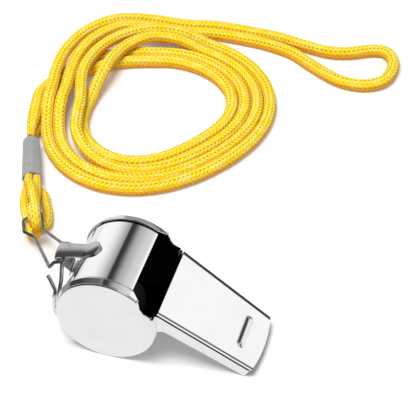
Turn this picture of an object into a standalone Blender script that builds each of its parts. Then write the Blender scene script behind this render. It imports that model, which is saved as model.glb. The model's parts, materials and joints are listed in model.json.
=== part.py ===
"""Sheet-metal pea whistle with a split ring, a wire clip and a neck cord wound into a coil.

The whistle lies on the rims of its two raised discs and on the tip of its mouthpiece. World +X points to the
mouthpiece, +Y to the far side plate and +Z up. The body is drawn in its own frame: origin on the barrel's axis,
x towards the mouthpiece, z towards the window; an empty tilts it down until the tip touches.
"""
import math

import bmesh
import bpy
import numpy as np
from mathutils import Matrix, Vector

MM = 0.001

# Body
BODY_WIDTH = 21.0 * MM          # over the two raised discs
BARREL_RADIUS = 10.5 * MM       # outside of the barrel strip
DISC_RADIUS = BARREL_RADIUS + 0.4 * MM
SHEET = 0.65 * MM               # wall of every body plate
RIM_WIDTH = 1.8 * MM            # depth of the dish pressed into each side plate
RIM_ROUND = 0.35 * MM
SEAM = 0.3 * MM                 # gap that stands for a soldered seam
MERGE = 0.00001                 # merge distance of the modifiers

# Mouthpiece, in the body's frame
WINDOW_FRONT = 7.0 * MM         # rear edge of the top plate
TOP_HEIGHT = 9.8 * MM           # upper face of the top plate above the barrel's axis
TIP_X = 30.3 * MM
TIP_BULGE = 0.9 * MM            # how far the top plate's front edge bows out
ROOT_HALF_WIDTH = BODY_WIDTH / 2 - 1.2 * MM  # outside of the cheeks at the window
TIP_HALF_WIDTH = BODY_WIDTH / 2 - 2.85 * MM
FLOOR_ROOT = 5.8 * MM           # underside of the mouthpiece where it leaves the barrel
FLOOR_TIP = 6.75 * MM
FILLET_RADIUS = 1.8 * MM        # bend from the barrel into the mouthpiece
CORNER_ROUND = 0.6 * MM
LIP_EDGE = 0.2 * MM             # thickness left at the sounding lip
LIP_BEVEL = 1.6 * MM
WINDWAY_HEIGHT = 1.4 * MM
WINDWAY_SHEET = 0.5 * MM
WINDWAY_LENGTH = 14.0 * MM
WINDWAY_FOLD = 0.75 * MM        # outside radius of the shelf's fold
WINDWAY_FOLD_KEPT = 3           # wall points below the fold
NOTCH_DROP = 0.75 * MM          # depth of the side plates' notch beside the window, under the cheeks' top edge
NOTCH_PLAY = 0.2 * MM           # from the notch's ends to the sounding lip and the top plate
NOTCH_ROOM = 3.1 * MM           # how far the notch's cutter passes the disc
RIB_X = 26.0 * MM               # bite rib on the top plate
RIB_LENGTH = 8.6 * MM
RIB_RADIUS = 0.75 * MM
RIB_HEIGHT = 0.45 * MM

# Pea
PEA_RADIUS = 0.528 * (BARREL_RADIUS - SHEET)
PEA_PLAY = 0.3 * MM

# Lug, a strap folded into a loop behind the barrel; angles run back from the barrel's top
LUG_SHEET = 0.5 * MM
LUG_HALF_WIDTH = 1.95 * MM
LUG_WAIST = 1.7 * MM
LUG_TOP_START = 56.0
LUG_TOP_END = 74.0
LUG_LOW_START = 108.0
LUG_LOW_END = 124.0
LUG_FOLD = (-BARREL_RADIUS - 5.6 * MM, -2.85 * MM)
LUG_FOLD_RADIUS = 1.0 * MM
LUG_FOOT_RADIUS = 0.7 * MM

# Split ring, hanging in the lug; world place relative to the barrel's axis
RING_RADIUS = 7.6 * MM
RING_WIRE = 0.7 * MM
RING_PITCH = 1.0 * MM
RING_PIVOT = (-BARREL_RADIUS - 1.15 * MM, 5.4 * MM)
RING_START = 150.0              # angle of the sprung end, up from +Y
RING_SPRUNG = ((-2.3 * MM, -5.3 * MM, -1.45 * MM), (-1.5 * MM, -5.85 * MM, -2.45 * MM))
RING_JOG = 305.0                # turned from the start to where the wire steps to its second turn
RING_JOG_SPAN = 42.0
RING_SWEEP = 652.0              # whole turn of the wire

# Wire clip between the lug and the cord
CLIP_WIRE = 0.6 * MM
CLIP_PIVOT = (-BARREL_RADIUS - 1.2 * MM, 6.33 * MM)
DRAWN_BARREL = 10.5 * MM        # barrel radius that the lanyard's points are drawn for
CLIP_BEND = 0.8 * MM
CLIP_JOINT = 0.4 * MM           # butt joint of the wire's two ends, inside the lug
CLIP_FAR = 2.6 * MM
CLIP_NEAR = 2.75 * MM
# Corners of the clip in millimetres, from the lug's far side round the bulb to its near side
CLIP_LOOP = ((-12.75, 3.35, 16.5), (-15.8, 7.2, 12.0), (-23.7, 16.4, 4.6), (-24.9, 17.7, 3.9), (-27.4, 23.3, 3.35), (-30.3, 19.3, 3.35),
             (-28.6, 15.6, 3.8), (-25.3, 13.9, 4.6), (-14.4, -3.2, 15.3), (-13.3, -3.1, 17.0))

# Cord
CORD_DIAMETER = 2.6 * MM
EYE_DIAMETER = 2.1 * MM
SLEEVE_CORD = 1.5 * MM          # cord pressed flat where it enters the sleeve
STRAND_PITCH = 3.15 * MM
FLOOR_PLAY = 0.05 * MM          # cord's clearance over the surface that it lies on
COIL_CENTRE = (-14.1 * MM, 67.1 * MM)
COIL_RADIUS = 18.3 * MM         # innermost strand of the coil
COIL_WAVES = ((2, -1.4 * MM, 1.0 * MM), (3, 0.6 * MM, 0.6 * MM))
COIL_STEP = 15                  # degrees between points, 24 to a turn

# Crimp sleeve
SLEEVE_TOP = (-38.9 * MM, 46.2 * MM, 2.45 * MM)
SLEEVE_BOTTOM = (-33.7 * MM, 33.4 * MM, 2.45 * MM)
SLEEVE_TOP_WIDTH = 4.0 * MM
SLEEVE_BOTTOM_WIDTH = 4.8 * MM
SLEEVE_FLATNESS = 0.98

# Sizes that follow from the ones above
FLANGE_END = BODY_WIDTH / 2 - RIM_WIDTH
STRIP_HALF = min(FLANGE_END, ROOT_HALF_WIDTH - SHEET) - SEAM
TAPER = math.atan((ROOT_HALF_WIDTH - TIP_HALF_WIDTH) / (TIP_X - WINDOW_FRONT))
FLOOR_SLOPE = (FLOOR_TIP - FLOOR_ROOT) / (TIP_X - BARREL_RADIUS)
TIP_ANGLE = math.atan2(FLOOR_TIP, TIP_X)
TILT = TIP_ANGLE + math.asin(DISC_RADIUS / math.hypot(TIP_X, FLOOR_TIP))
AXIS_HEIGHT = DISC_RADIUS

STEEL = ((0.80, 0.80, 0.81), 0.16, 1.0)
WIRE = ((0.42, 0.42, 0.43), 0.3, 1.0)
CORK = ((0.55, 0.36, 0.19), 0.85, 0.0)
GREY_METAL = ((0.42, 0.42, 0.42), 0.5, 0.8)
YELLOW = ((0.95, 0.72, 0.03), 0.85, 0.0)


def clear_scene():
    for item in list(bpy.data.objects):
        bpy.data.objects.remove(item, do_unlink=True)


def new_collection(name):
    group = bpy.data.collections.new(name)
    bpy.context.scene.collection.children.link(group)
    return group


def new_empty(name, location=(0, 0, 0), rotation=(0, 0, 0), parent=None):
    empty = bpy.data.objects.new(name, None)
    empty.location = location
    empty.rotation_euler = rotation
    empty.parent = parent
    PARTS.objects.link(empty)
    return empty


def dress(piece, finish):
    """Gives a piece its own Principled material of a colour, a roughness and a metallic value."""
    colour, roughness, metallic = finish
    look = bpy.data.materials.new(piece.name + "_finish")
    look.use_nodes = True
    shader = look.node_tree.nodes["Principled BSDF"]
    shader.inputs["Base Color"].default_value = (*colour, 1)
    shader.inputs["Roughness"].default_value = roughness
    shader.inputs["Metallic"].default_value = metallic
    look.diffuse_color = (*colour, 1)
    piece.data.materials.clear()
    piece.data.materials.append(look)


def place(name, data, finish, parent, group=None):
    piece = bpy.data.objects.new(name, data)
    piece.parent = parent
    (group or PARTS).objects.link(piece)
    if finish:
        dress(piece, finish)
    else:
        piece.display_type = "WIRE"
        piece.hide_render = True
    return piece


def smooth(piece, angle=35):
    piece.data.shade_smooth()
    piece.data.set_sharp_from_angle(angle=math.radians(angle))


def to_mesh(piece):
    """Turns a curve piece into a mesh piece of the same name, with its caps welded."""
    bpy.context.view_layer.update()
    graph = bpy.context.evaluated_depsgraph_get()
    mesh = bpy.data.meshes.new_from_object(piece.evaluated_get(graph))
    shape = bmesh.new()
    shape.from_mesh(mesh)
    bmesh.ops.remove_doubles(shape, verts=shape.verts, dist=MERGE)
    bmesh.ops.recalc_face_normals(shape, faces=shape.faces)
    shape.to_mesh(mesh)
    shape.free()
    name, parent, group = piece.name, piece.parent, piece.users_collection[0]
    local = piece.matrix_local.copy()
    bpy.data.objects.remove(piece, do_unlink=True)
    solid = bpy.data.objects.new(name, mesh)
    solid.parent = parent
    solid.matrix_local = local
    group.objects.link(solid)
    return solid


def join(piece, tool, operation):
    """Adds or cuts another object with a Boolean, and hides that object as a guide."""
    change = piece.modifiers.new(tool.name, "BOOLEAN")
    change.object = tool
    change.operation = operation
    change.solver = "EXACT"
    tool.display_type = "WIRE"
    tool.hide_render = True


def flat_outline(name, points, thickness, parent, finish=None, group=None):
    """A closed outline in the x, y plane, extruded both ways along z to the given thickness."""
    curve = bpy.data.curves.new(name, "CURVE")
    curve.dimensions = "2D"
    curve.fill_mode = "BOTH"
    curve.extrude = thickness / 2
    line = curve.splines.new("POLY")
    line.points.add(len(points) - 1)
    for target, (x, y) in zip(line.points, points):
        target.co = (x, y, 0, 1)
    line.use_cyclic_u = True
    return to_mesh(place(name, curve, finish, parent, group))


def sheet_strip(name, path, half_widths, thickness, offset, finish, parent):
    """A bent strip: a path in x and z, swept across y to the half width of each of its points."""
    shape = bmesh.new()
    rows = [[shape.verts.new((x, side * half, z)) for side in (-1, 1)] for (x, z), half in zip(path, half_widths)]
    for near, far in zip(rows[:-1], rows[1:]):
        shape.faces.new((near[0], near[1], far[1], far[0]))
    mesh = bpy.data.meshes.new(name)
    shape.to_mesh(mesh)
    shape.free()
    piece = place(name, mesh, finish, parent)
    wall = piece.modifiers.new("wall", "SOLIDIFY")
    wall.thickness = thickness
    wall.offset = offset
    wall.use_even_offset = True
    smooth(piece)
    return piece


def arc(centre, radius, start, end, count):
    """Points on a circle; angles in degrees run from the top backwards, as the barrel strip does."""
    angles = np.radians(np.linspace(start, end, count))
    return [(centre[0] - radius * math.sin(a), centre[1] + radius * math.cos(a)) for a in angles]


def rounded(points, radii, count=6):
    """A polyline in any number of dimensions whose inner corners are turned into arcs of the given radii."""
    out = [np.array(points[0], float)]
    for before, corner, after, radius in zip(points[:-2], points[1:-1], points[2:], radii):
        before, corner, after = (np.array(p, float) for p in (before, corner, after))
        back = (before - corner) / np.linalg.norm(before - corner)
        ahead = (after - corner) / np.linalg.norm(after - corner)
        half = math.acos(max(-1, min(1, float(back @ ahead)))) / 2
        if radius <= 0 or half > math.radians(89):
            out.append(corner)
            continue
        inward = (back + ahead) / np.linalg.norm(back + ahead)
        centre = corner + inward * radius / math.sin(half)
        first = corner + back * radius / math.tan(half) - centre
        last = corner + ahead * radius / math.tan(half) - centre
        turn = math.pi - 2 * half
        for step in range(count + 1):
            share = step / count
            out.append(centre + (first * math.sin((1 - share) * turn) + last * math.sin(share * turn)) / math.sin(turn))
    out.append(np.array(points[-1], float))
    return out


def floor_line(x):
    """Underside of the mouthpiece at x."""
    return FLOOR_ROOT + FLOOR_SLOPE * (x - BARREL_RADIUS)


def cheek_outside(x):
    """Half width over the cheeks at x."""
    return ROOT_HALF_WIDTH - math.tan(TAPER) * (x - WINDOW_FRONT)


def strip_half(x):
    """Half width of a strip that lies between the cheeks at x."""
    return min(STRIP_HALF, cheek_outside(x) - SHEET / math.cos(TAPER) - SEAM)


def fillet_centre():
    """Centre of the bend that touches the barrel's outside and the mouthpiece's underside."""
    lift = FILLET_RADIUS * math.hypot(1, FLOOR_SLOPE)
    reach = BARREL_RADIUS + FILLET_RADIUS
    x = BARREL_RADIUS
    for _ in range(60):
        x = math.sqrt(reach ** 2 - (floor_line(x) - lift) ** 2)
    return x, floor_line(x) - lift


def make_barrel():
    """Barrel and mouthpiece floor: one strip from the sounding lip round the back, then out to the tip."""
    bend_x, bend_z = fillet_centre()
    leave = 360 - math.degrees(math.atan2(bend_x, bend_z))
    path = arc((0, 0), BARREL_RADIUS, 0, leave, 72)
    turned = math.degrees(math.atan(FLOOR_SLOPE))
    path += arc((bend_x, bend_z), FILLET_RADIUS, leave - 180, turned, 9)[1:]
    start = path[-1][0]
    path += [(x, floor_line(x)) for x in np.linspace(start, TIP_X, 6)[1:]]
    halves = [strip_half(x) if z > 0 and x > 0 else STRIP_HALF for x, z in path]
    barrel = sheet_strip("barrel_strip", path, halves, SHEET, -1, STEEL, BODY)
    wedge = [(-LIP_BEVEL, -SHEET * 2), (SEAM, -SHEET * 2), (SEAM, -LIP_EDGE), (0, -LIP_EDGE), (-LIP_BEVEL, -SHEET)]
    cutter = flat_outline("lip_cutter", wedge, BODY_WIDTH, BODY, group=GUIDES)
    cutter.rotation_euler = (math.pi / 2, 0, 0)
    cutter.location = (0, 0, BARREL_RADIUS)
    join(barrel, cutter, "DIFFERENCE")


def dish_mesh(name):
    """Pressed dish of a side plate: the closed profile of a disc with a rounded edge and a wall."""
    outside = BODY_WIDTH / 2
    profile = [(0, outside), (DISC_RADIUS - RIM_ROUND, outside)]
    for step in (1, 2, 3):
        angle = math.radians(30 * step)
        profile.append((DISC_RADIUS - RIM_ROUND + RIM_ROUND * math.sin(angle),
                        outside - RIM_ROUND + RIM_ROUND * math.cos(angle)))
    profile += [(DISC_RADIUS, FLANGE_END), (DISC_RADIUS - SHEET, FLANGE_END),
                (DISC_RADIUS - SHEET, outside - SHEET), (0, outside - SHEET)]
    mesh = bpy.data.meshes.new(name)
    mesh.from_pydata([(x, y, 0) for x, y in profile], [(i, i + 1) for i in range(len(profile) - 1)], [])
    return mesh


def make_side_plate(name, side):
    """Side plate: a dished disc and a flat cheek in one, with a notch beside the window."""
    plate = place(name, dish_mesh(name), None, BODY)
    turn = plate.modifiers.new("turn", "SCREW")
    turn.axis = "Y"
    turn.steps = turn.render_steps = 72
    turn.use_merge_vertices = True
    turn.merge_threshold = MERGE
    solid = to_mesh(plate)
    if side < 0:
        solid.data.transform(Matrix.Scale(-1, 4, (0, 1, 0)))
        solid.data.flip_normals()
    dress(solid, STEEL)

    seat = DISC_RADIUS - SHEET / 2
    cheek_top = TOP_HEIGHT - SHEET - SEAM
    bend_x, bend_z = fillet_centre()
    away = math.hypot(bend_x, bend_z)
    meet = math.acos(min(1, (away ** 2 + seat ** 2 - FILLET_RADIUS ** 2) / (2 * away * seat)))
    low = math.degrees(math.atan2(bend_x, bend_z) - meet)
    high = math.degrees(math.acos(cheek_top / seat))
    corner = [(TIP_X, floor_line(TIP_X)), (TIP_X, cheek_top)]
    outline = [(-x, z) for x, z in arc((0, 0), seat, high, low, 12)]
    first = math.degrees(math.atan2(outline[-1][0] - bend_x, outline[-1][1] - bend_z))
    outline += [(bend_x + FILLET_RADIUS * math.sin(math.radians(a)), bend_z + FILLET_RADIUS * math.cos(math.radians(a)))
                for a in np.linspace(first, -math.degrees(math.atan(FLOOR_SLOPE)), 9)[1:]]
    outline += [tuple(p) for p in rounded([outline[-1]] + corner + [outline[0]],
                                          (CORNER_ROUND * 0.4, CORNER_ROUND * 0.4), 3)[1:-1]]
    cheek = flat_outline(name + "_cheek", outline, SHEET, BODY, group=GUIDES)
    cheek.rotation_euler = (math.pi / 2, 0, -side * TAPER)
    middle = ROOT_HALF_WIDTH - SHEET / 2
    cheek.location = (WINDOW_FRONT * (1 - math.cos(TAPER)), side * (middle + WINDOW_FRONT * math.sin(TAPER)), 0)
    join(solid, cheek, "UNION")

    above = DISC_RADIUS + NOTCH_ROOM
    depth = cheek_top - NOTCH_DROP
    hollow = [(NOTCH_PLAY, above), (NOTCH_PLAY, BARREL_RADIUS), (WINDOW_FRONT * 0.43, depth + 0.5 * MM),
              (WINDOW_FRONT * 0.657, depth), (WINDOW_FRONT * 0.857, cheek_top - 0.1 * MM),
              (WINDOW_FRONT - NOTCH_PLAY, cheek_top + 0.5 * MM), (WINDOW_FRONT - NOTCH_PLAY, above)]
    shape = [tuple(p) for p in rounded(hollow, (0, 1.5 * MM, 1.6 * MM, 1.2 * MM, 0), 4)]
    notch = flat_outline(name + "_notch", shape, 4 * MM, BODY, group=GUIDES)
    notch.rotation_euler = (math.pi / 2, 0, 0)
    notch.location = (0, side * (BODY_WIDTH / 2), 0)
    join(solid, notch, "DIFFERENCE")
    smooth(solid, 30)


def make_mouthpiece_top():
    """Top plate of the mouthpiece, flush with the cheeks' outsides, with the bite rib pressed up in it."""
    half = TIP_HALF_WIDTH
    bow = (half ** 2 + TIP_BULGE ** 2) / (2 * TIP_BULGE)
    reach = math.asin(half / bow)
    front = [(TIP_X + TIP_BULGE - bow + bow * math.cos(a), bow * math.sin(a)) for a in np.linspace(-reach, reach, 15)]
    outline = [(WINDOW_FRONT, cheek_outside(WINDOW_FRONT)), (WINDOW_FRONT, -cheek_outside(WINDOW_FRONT))] + front
    plate = flat_outline("mouthpiece_top", outline, SHEET, BODY, STEEL)
    plate.location = (0, 0, TOP_HEIGHT - SHEET / 2)
    dress(plate, STEEL)
    rib_mesh = bpy.data.meshes.new("bite_rib_guide")
    shape = bmesh.new()
    bmesh.ops.create_uvsphere(shape, u_segments=20, v_segments=12, radius=RIB_RADIUS)
    for vertex in shape.verts:
        stretch = RIB_LENGTH / 2 - RIB_RADIUS
        vertex.co.y += math.copysign(stretch, vertex.co.y) if abs(vertex.co.y) > MERGE else 0
    shape.to_mesh(rib_mesh)
    shape.free()
    rib = place("bite_rib_guide", rib_mesh, None, BODY, GUIDES)
    rib.location = (RIB_X, 0, TOP_HEIGHT + RIB_HEIGHT - RIB_RADIUS)
    join(plate, rib, "UNION")
    smooth(plate)


def make_windway_floor():
    """Inner sheet: a flat shelf under the windway, folded down to close the front of the chamber."""
    shelf = TOP_HEIGHT - SHEET - WINDWAY_HEIGHT
    face = BARREL_RADIUS - SHEET
    back = face + WINDWAY_SHEET
    bend_x, bend_z = fillet_centre()
    reach = FILLET_RADIUS + SHEET + SEAM
    away = math.hypot(bend_x, bend_z)
    spread = math.acos((away ** 2 + back ** 2 - reach ** 2) / (2 * away * back))
    low = math.degrees(math.atan2(bend_x, bend_z) - spread)
    fold = math.degrees(math.acos(shelf / face))
    wall = [(-x, z) for x, z in arc((0, 0), face, low, fold, 8)]
    keep = WINDWAY_FOLD_KEPT
    path = wall[:keep] + [tuple(p) for p in rounded([wall[keep - 1], wall[-1], (wall[-1][0] + WINDWAY_LENGTH, shelf)],
                                                    (WINDWAY_FOLD,), 6)[1:]]
    halves = [strip_half(x) for x, z in path]
    sheet_strip("windway_floor", path[::-1], halves[::-1], WINDWAY_SHEET, -1, STEEL, BODY)


def make_pea():
    """Cork ball; its empty sits on the barrel's axis, which it circles, and it rests at the chamber's bottom."""
    orbit = new_empty("pea_orbit", (0, 0, AXIS_HEIGHT), parent=STAND)
    mesh = bpy.data.meshes.new("pea")
    shape = bmesh.new()
    bmesh.ops.create_uvsphere(shape, u_segments=24, v_segments=14, radius=PEA_RADIUS)
    shape.to_mesh(mesh)
    shape.free()
    pea = place("pea", mesh, CORK, orbit)
    pea.location = (0, 0, -(BARREL_RADIUS - SHEET - PEA_RADIUS - PEA_PLAY))
    smooth(pea, 60)


def make_lug():
    """Lug: a waisted strap, soldered to the barrel at both ends and folded into a loop between them."""
    seat = BARREL_RADIUS + SEAM + LUG_SHEET / 2
    top = arc((0, 0), seat, LUG_TOP_START, LUG_TOP_END, 7)
    foot = arc((0, 0), seat, LUG_LOW_START, LUG_LOW_END, 5)
    corners = [top[-2], top[-1], LUG_FOLD, foot[0], foot[1]]
    middle = [tuple(p) for p in rounded(corners, (2.5 * MM, LUG_FOLD_RADIUS, LUG_FOOT_RADIUS), 8)]
    path = top[:-2] + middle + foot[2:]
    steps = np.hypot(*np.diff(np.array(path), axis=0).T)
    along = np.concatenate([[0], np.cumsum(steps)])
    halves = []
    for travelled in along:
        full = LUG_HALF_WIDTH - (LUG_HALF_WIDTH - LUG_WAIST) * math.exp(-((travelled - 3.6 * MM) / (1.6 * MM)) ** 2)
        end = min(travelled, along[-1] - travelled) + 0.15 * MM
        halves.append(math.sqrt(full ** 2 - (full - end) ** 2) if end < full else full)
    sheet_strip("lug", path, halves, LUG_SHEET, 0, STEEL, BODY)


def wire(name, points, diameter, finish, parent, sides=2, radii=None):
    """A round wire or cord along the points, closed at both ends."""
    curve = bpy.data.curves.new(name, "CURVE")
    curve.dimensions = "3D"
    curve.bevel_depth = diameter / 2
    curve.bevel_resolution = sides
    curve.use_fill_caps = True
    line = curve.splines.new("POLY")
    line.points.add(len(points) - 1)
    for index, (target, point) in enumerate(zip(line.points, points)):
        target.co = (*point, 1)
        target.radius = 1 if radii is None else radii[index]
    line.use_smooth = True
    return place(name, curve, finish, parent)


def make_split_ring():
    """Split ring: two turns of wire that step past each other, one end sprung out; it swings on its top wire."""
    pivot = new_empty("ring_pivot", (RING_PIVOT[0], 0, AXIS_HEIGHT + RING_PIVOT[1]), parent=STAND)
    points = list(RING_SPRUNG)
    for degrees in np.arange(0, RING_SWEEP, 12):
        share = min(1, max(0, (degrees - RING_JOG) / RING_JOG_SPAN))
        shift = RING_PITCH * (share * share * (3 - 2 * share) - 0.5)
        angle = math.radians(degrees + RING_START)
        points.append((shift, RING_RADIUS * math.cos(angle), RING_RADIUS * math.sin(angle) - RING_RADIUS))
    wire("split_ring", points, RING_WIRE, WIRE, pivot)


def make_wire_clip():
    """Wire clip: one bent wire whose ends meet inside the lug, widened into a bulb round the cord."""
    x, z = CLIP_PIVOT[0], AXIS_HEIGHT + CLIP_PIVOT[1]
    route = [Vector((x, CLIP_JOINT / 2, z)), Vector((x, CLIP_FAR, z))]
    route += [Vector(p) * MM + CLIP_HOME - DRAWN_HOME for p in CLIP_LOOP]
    route += [Vector((x, -CLIP_NEAR, z)), Vector((x, -CLIP_JOINT / 2, z))]
    path = rounded([p - CLIP_HOME for p in route], [CLIP_BEND] * (len(route) - 2), 5)
    wire("wire_clip", path, CLIP_WIRE, WIRE, LANYARD)


def coil_place(degrees, place_across, layer):
    """A point of the coil: the base oval at an angle, moved out by strands and up by layers."""
    angle = math.radians(degrees)
    radius = COIL_RADIUS + place_across * STRAND_PITCH
    for count, cosine, sine in COIL_WAVES:
        radius += cosine * math.cos(count * angle) + sine * math.sin(count * angle)
    height = CORD_DIAMETER / 2 + FLOOR_PLAY + layer * STRAND_PITCH
    return (COIL_CENTRE[0] + radius * math.cos(angle), COIL_CENTRE[1] + radius * math.sin(angle), height)


def glide(stations, angle):
    """Value at an angle on a monotone cubic curve through stations of falling angle, flat at every turning point."""
    knots = [-float(station[0]) for station in stations]
    values = [float(station[1]) for station in stations]
    slopes = [(values[i + 1] - values[i]) / (knots[i + 1] - knots[i]) for i in range(len(knots) - 1)]
    tangents = [0.0] + [2 * p * q / (p + q) if p * q > 0 else 0.0 for p, q in zip(slopes[:-1], slopes[1:])] + [0.0]
    index = max(0, min(len(knots) - 2, sum(knot <= -angle for knot in knots) - 1))
    step = knots[index + 1] - knots[index]
    share = min(1.0, max(0.0, (-angle - knots[index]) / step))
    rise = share * share * (3 - 2 * share)
    return (values[index] * (1 - rise) + values[index + 1] * rise
            + step * (tangents[index] * share * (1 - share) ** 2 - tangents[index + 1] * share * share * (1 - share)))


def coil_strand(places, layers):
    """A strand's turns, clockwise seen from above, from its places across and its layers at each angle."""
    angles = np.arange(places[0][0], places[-1][0] - 1, -COIL_STEP)
    return [coil_place(angle, glide(places, angle), glide(layers, angle)) for angle in angles]


# Outer and inner strand of the doubled cord: angle in degrees with place across in strands, or with layer
OUTER_PLACES = ((185, 5), (178, 5), (103, 1), (-118, 1), (-150, 0.5), (-165, 0.5), (-182, 1.2), (-255, 3),
                (-522, 3), (-592, 5), (-625, 5))
OUTER_LAYERS = ((185, 0.45), (168, 0), (-85, 0), (-140, 1), (-255, 1), (-285, 0), (-500, 0), (-524, 1), (-590, 1),
                (-625, 0))
INNER_PLACES = ((185, 4), (180, 4), (107, 0), (-118, 0), (-150, 0.2), (-198, 0.1), (-255, 2), (-528, 2), (-597, 4),
                (-625, 4))
INNER_LAYERS = ((185, 0), (-180, 0), (-200, 1), (-255, 1), (-285, 0), (-500, 0), (-524, 1), (-590, 1), (-625, 0))
# Leads from the sleeve, the bight and the eyes, in millimetres over the surface
OUTER_LEAD = ((-38.95, 46.32, 3.45), (-39.65, 48.05, 3.65), (-40.6, 51.0, 4.45), (-42.5, 56.6, 4.3), (-44.0, 60.4, 3.9))
INNER_LEAD = ((-38.95, 46.32, 1.5), (-39.65, 48.05, 1.4), (-40.3, 51.5, 1.35), (-41.1, 56.2, 1.35), (-42.1, 60.5, 1.35))
BIGHT = ((-9.0, 103.4, 1.35), (-1.0, 103.6, 1.35), (7.0, 103.4, 1.35), (14.4, 102.1, 1.35), (21.5, 101.2, 1.35),
         (26.8, 102.4, 1.35), (31.8, 104.9, 1.35), (35.6, 105.2, 1.35), (38.2, 102.2, 1.35), (38.6, 97.3, 1.35),
         (37.0, 93.0, 1.35), (32.8, 90.5, 1.35), (27.4, 90.4, 1.35), (22.6, 92.3, 1.35), (17.6, 95.2, 1.35),
         (12.4, 98.2, 1.35), (6.0, 99.8, 1.35), (-1.0, 100.3, 1.35), (-9.0, 100.1, 1.35))
EYE_LEFT = ((-34.27, 33.04, 3.65), (-33.62, 31.3, 3.95), (-33.2, 30.0, 4.9), (-31.95, 28.4, 6.0), (-30.2, 25.4, 7.05),
            (-28.5, 22.4, 7.65), (-27.3, 19.9, 7.95), (-26.1, 17.3, 7.9), (-25.4, 15.9, 6.6), (-25.55, 16.05, 4.6),
            (-26.8, 16.1, 2.7), (-28.2, 16.9, 1.4), (-29.6, 18.8, 1.1), (-31.1, 21.9, 1.1), (-32.3, 24.8, 1.1),
            (-33.4, 27.8, 1.15), (-34.2, 31.1, 1.6), (-34.72, 32.86, 1.74))
EYE_RIGHT = ((-32.58, 33.72, 3.17), (-31.86, 31.98, 3.2), (-31.2, 29.9, 3.5), (-30.4, 27.9, 3.6), (-29.7, 25.3, 3.95),
             (-29.15, 23.0, 4.7), (-28.75, 21.2, 5.15), (-28.1, 19.75, 4.7), (-27.8, 19.4, 3.3), (-27.1, 19.7, 1.8),
             (-26.1, 20.3, 1.1), (-25.6, 22.0, 1.1), (-26.6, 25.0, 1.1), (-28.2, 27.9, 1.1), (-29.6, 30.3, 1.1),
             (-31.9, 31.98, 0.95), (-33.03, 33.54, 1.2))


def smooth_route(points, spacing):
    """Points read at an even spacing from a smooth curve through the route's own points."""
    route = np.array(points, float)
    padded = np.vstack([2 * route[0] - route[1], route, 2 * route[-1] - route[-2]])
    share = np.linspace(0, 1, 24, endpoint=False)[:, None]
    pieces = []
    for a, b, c, d in zip(padded[:-3], padded[1:-2], padded[2:-1], padded[3:]):
        pieces.append(0.5 * (2 * b + (c - a) * share + (2 * a - 5 * b + 4 * c - d) * share ** 2
                             + (3 * b - a - 3 * c + d) * share ** 3))
    fine = np.vstack(pieces + [route[-1:]])
    length = np.concatenate([[0], np.cumsum(np.linalg.norm(np.diff(fine, axis=0), axis=1))])
    wanted = np.linspace(0, length[-1], max(2, round(length[-1] / spacing)) + 1)
    return np.stack([np.interp(wanted, length, fine[:, axis]) for axis in range(3)], axis=1)


def end_taper(points, full, pressed):
    """Radius share of each point: pressed thin where the cord enters the sleeve at both ends."""
    steps = np.linalg.norm(np.diff(points, axis=0), axis=1)
    along = np.concatenate([[0], np.cumsum(steps)])
    near = np.clip(np.minimum(along, along[-1] - along) / (2.2 * full), 0, 1)
    return pressed / full + (1 - pressed / full) * near * near * (3 - 2 * near)


def least_gap(points, full, pressed, skip):
    """Least clear distance between stretches of one cord that lie further apart along it than skip."""
    fine = smooth_route(points, full / 4)
    radius = end_taper(fine, full, pressed) * full / 2
    along = np.concatenate([[0], np.cumsum(np.linalg.norm(np.diff(fine, axis=0), axis=1))])
    least = 1.0
    for index in range(len(fine)):
        far = along > along[index] + skip
        if far.any():
            gaps = np.linalg.norm(fine[far] - fine[index], axis=1) - radius[far] - radius[index]
            least = min(least, float(gaps.min()))
    return least


def make_cord(name, route, spacing, diameter, sides):
    """One cord as a tube along a smooth curve through its route; prints its length and its least gap to itself."""
    path = smooth_route(route, spacing)
    tube = wire(name, path - np.array(DRAWN_HOME), diameter, YELLOW, LANYARD, sides,
                end_taper(path, diameter, SLEEVE_CORD))
    length = float(np.linalg.norm(np.diff(path, axis=0), axis=1).sum())
    gap = least_gap(route, diameter, SLEEVE_CORD, 4 * diameter)
    print(name, "length mm", round(length / MM, 1), "points", len(path), "least gap mm", round(gap / MM, 2))
    return tube


def make_cords():
    """Neck cord, a doubled loop wound into a coil, and the two short eyes that hold the clip."""
    outer = [Vector(p) * MM for p in OUTER_LEAD] + [Vector(p) for p in coil_strand(OUTER_PLACES, OUTER_LAYERS)]
    inner = [Vector(p) * MM for p in INNER_LEAD] + [Vector(p) for p in coil_strand(INNER_PLACES, INNER_LAYERS)]
    bight = [Vector(p) * MM for p in BIGHT]
    make_cord("neck_cord", outer + bight + inner[::-1], 2.2 * CORD_DIAMETER, CORD_DIAMETER, 1)
    make_cord("cord_eye_left", [Vector(p) * MM for p in EYE_LEFT], 0.75 * EYE_DIAMETER, EYE_DIAMETER, 2)
    make_cord("cord_eye_right", [Vector(p) * MM for p in EYE_RIGHT], 0.75 * EYE_DIAMETER, EYE_DIAMETER, 2)


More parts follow.
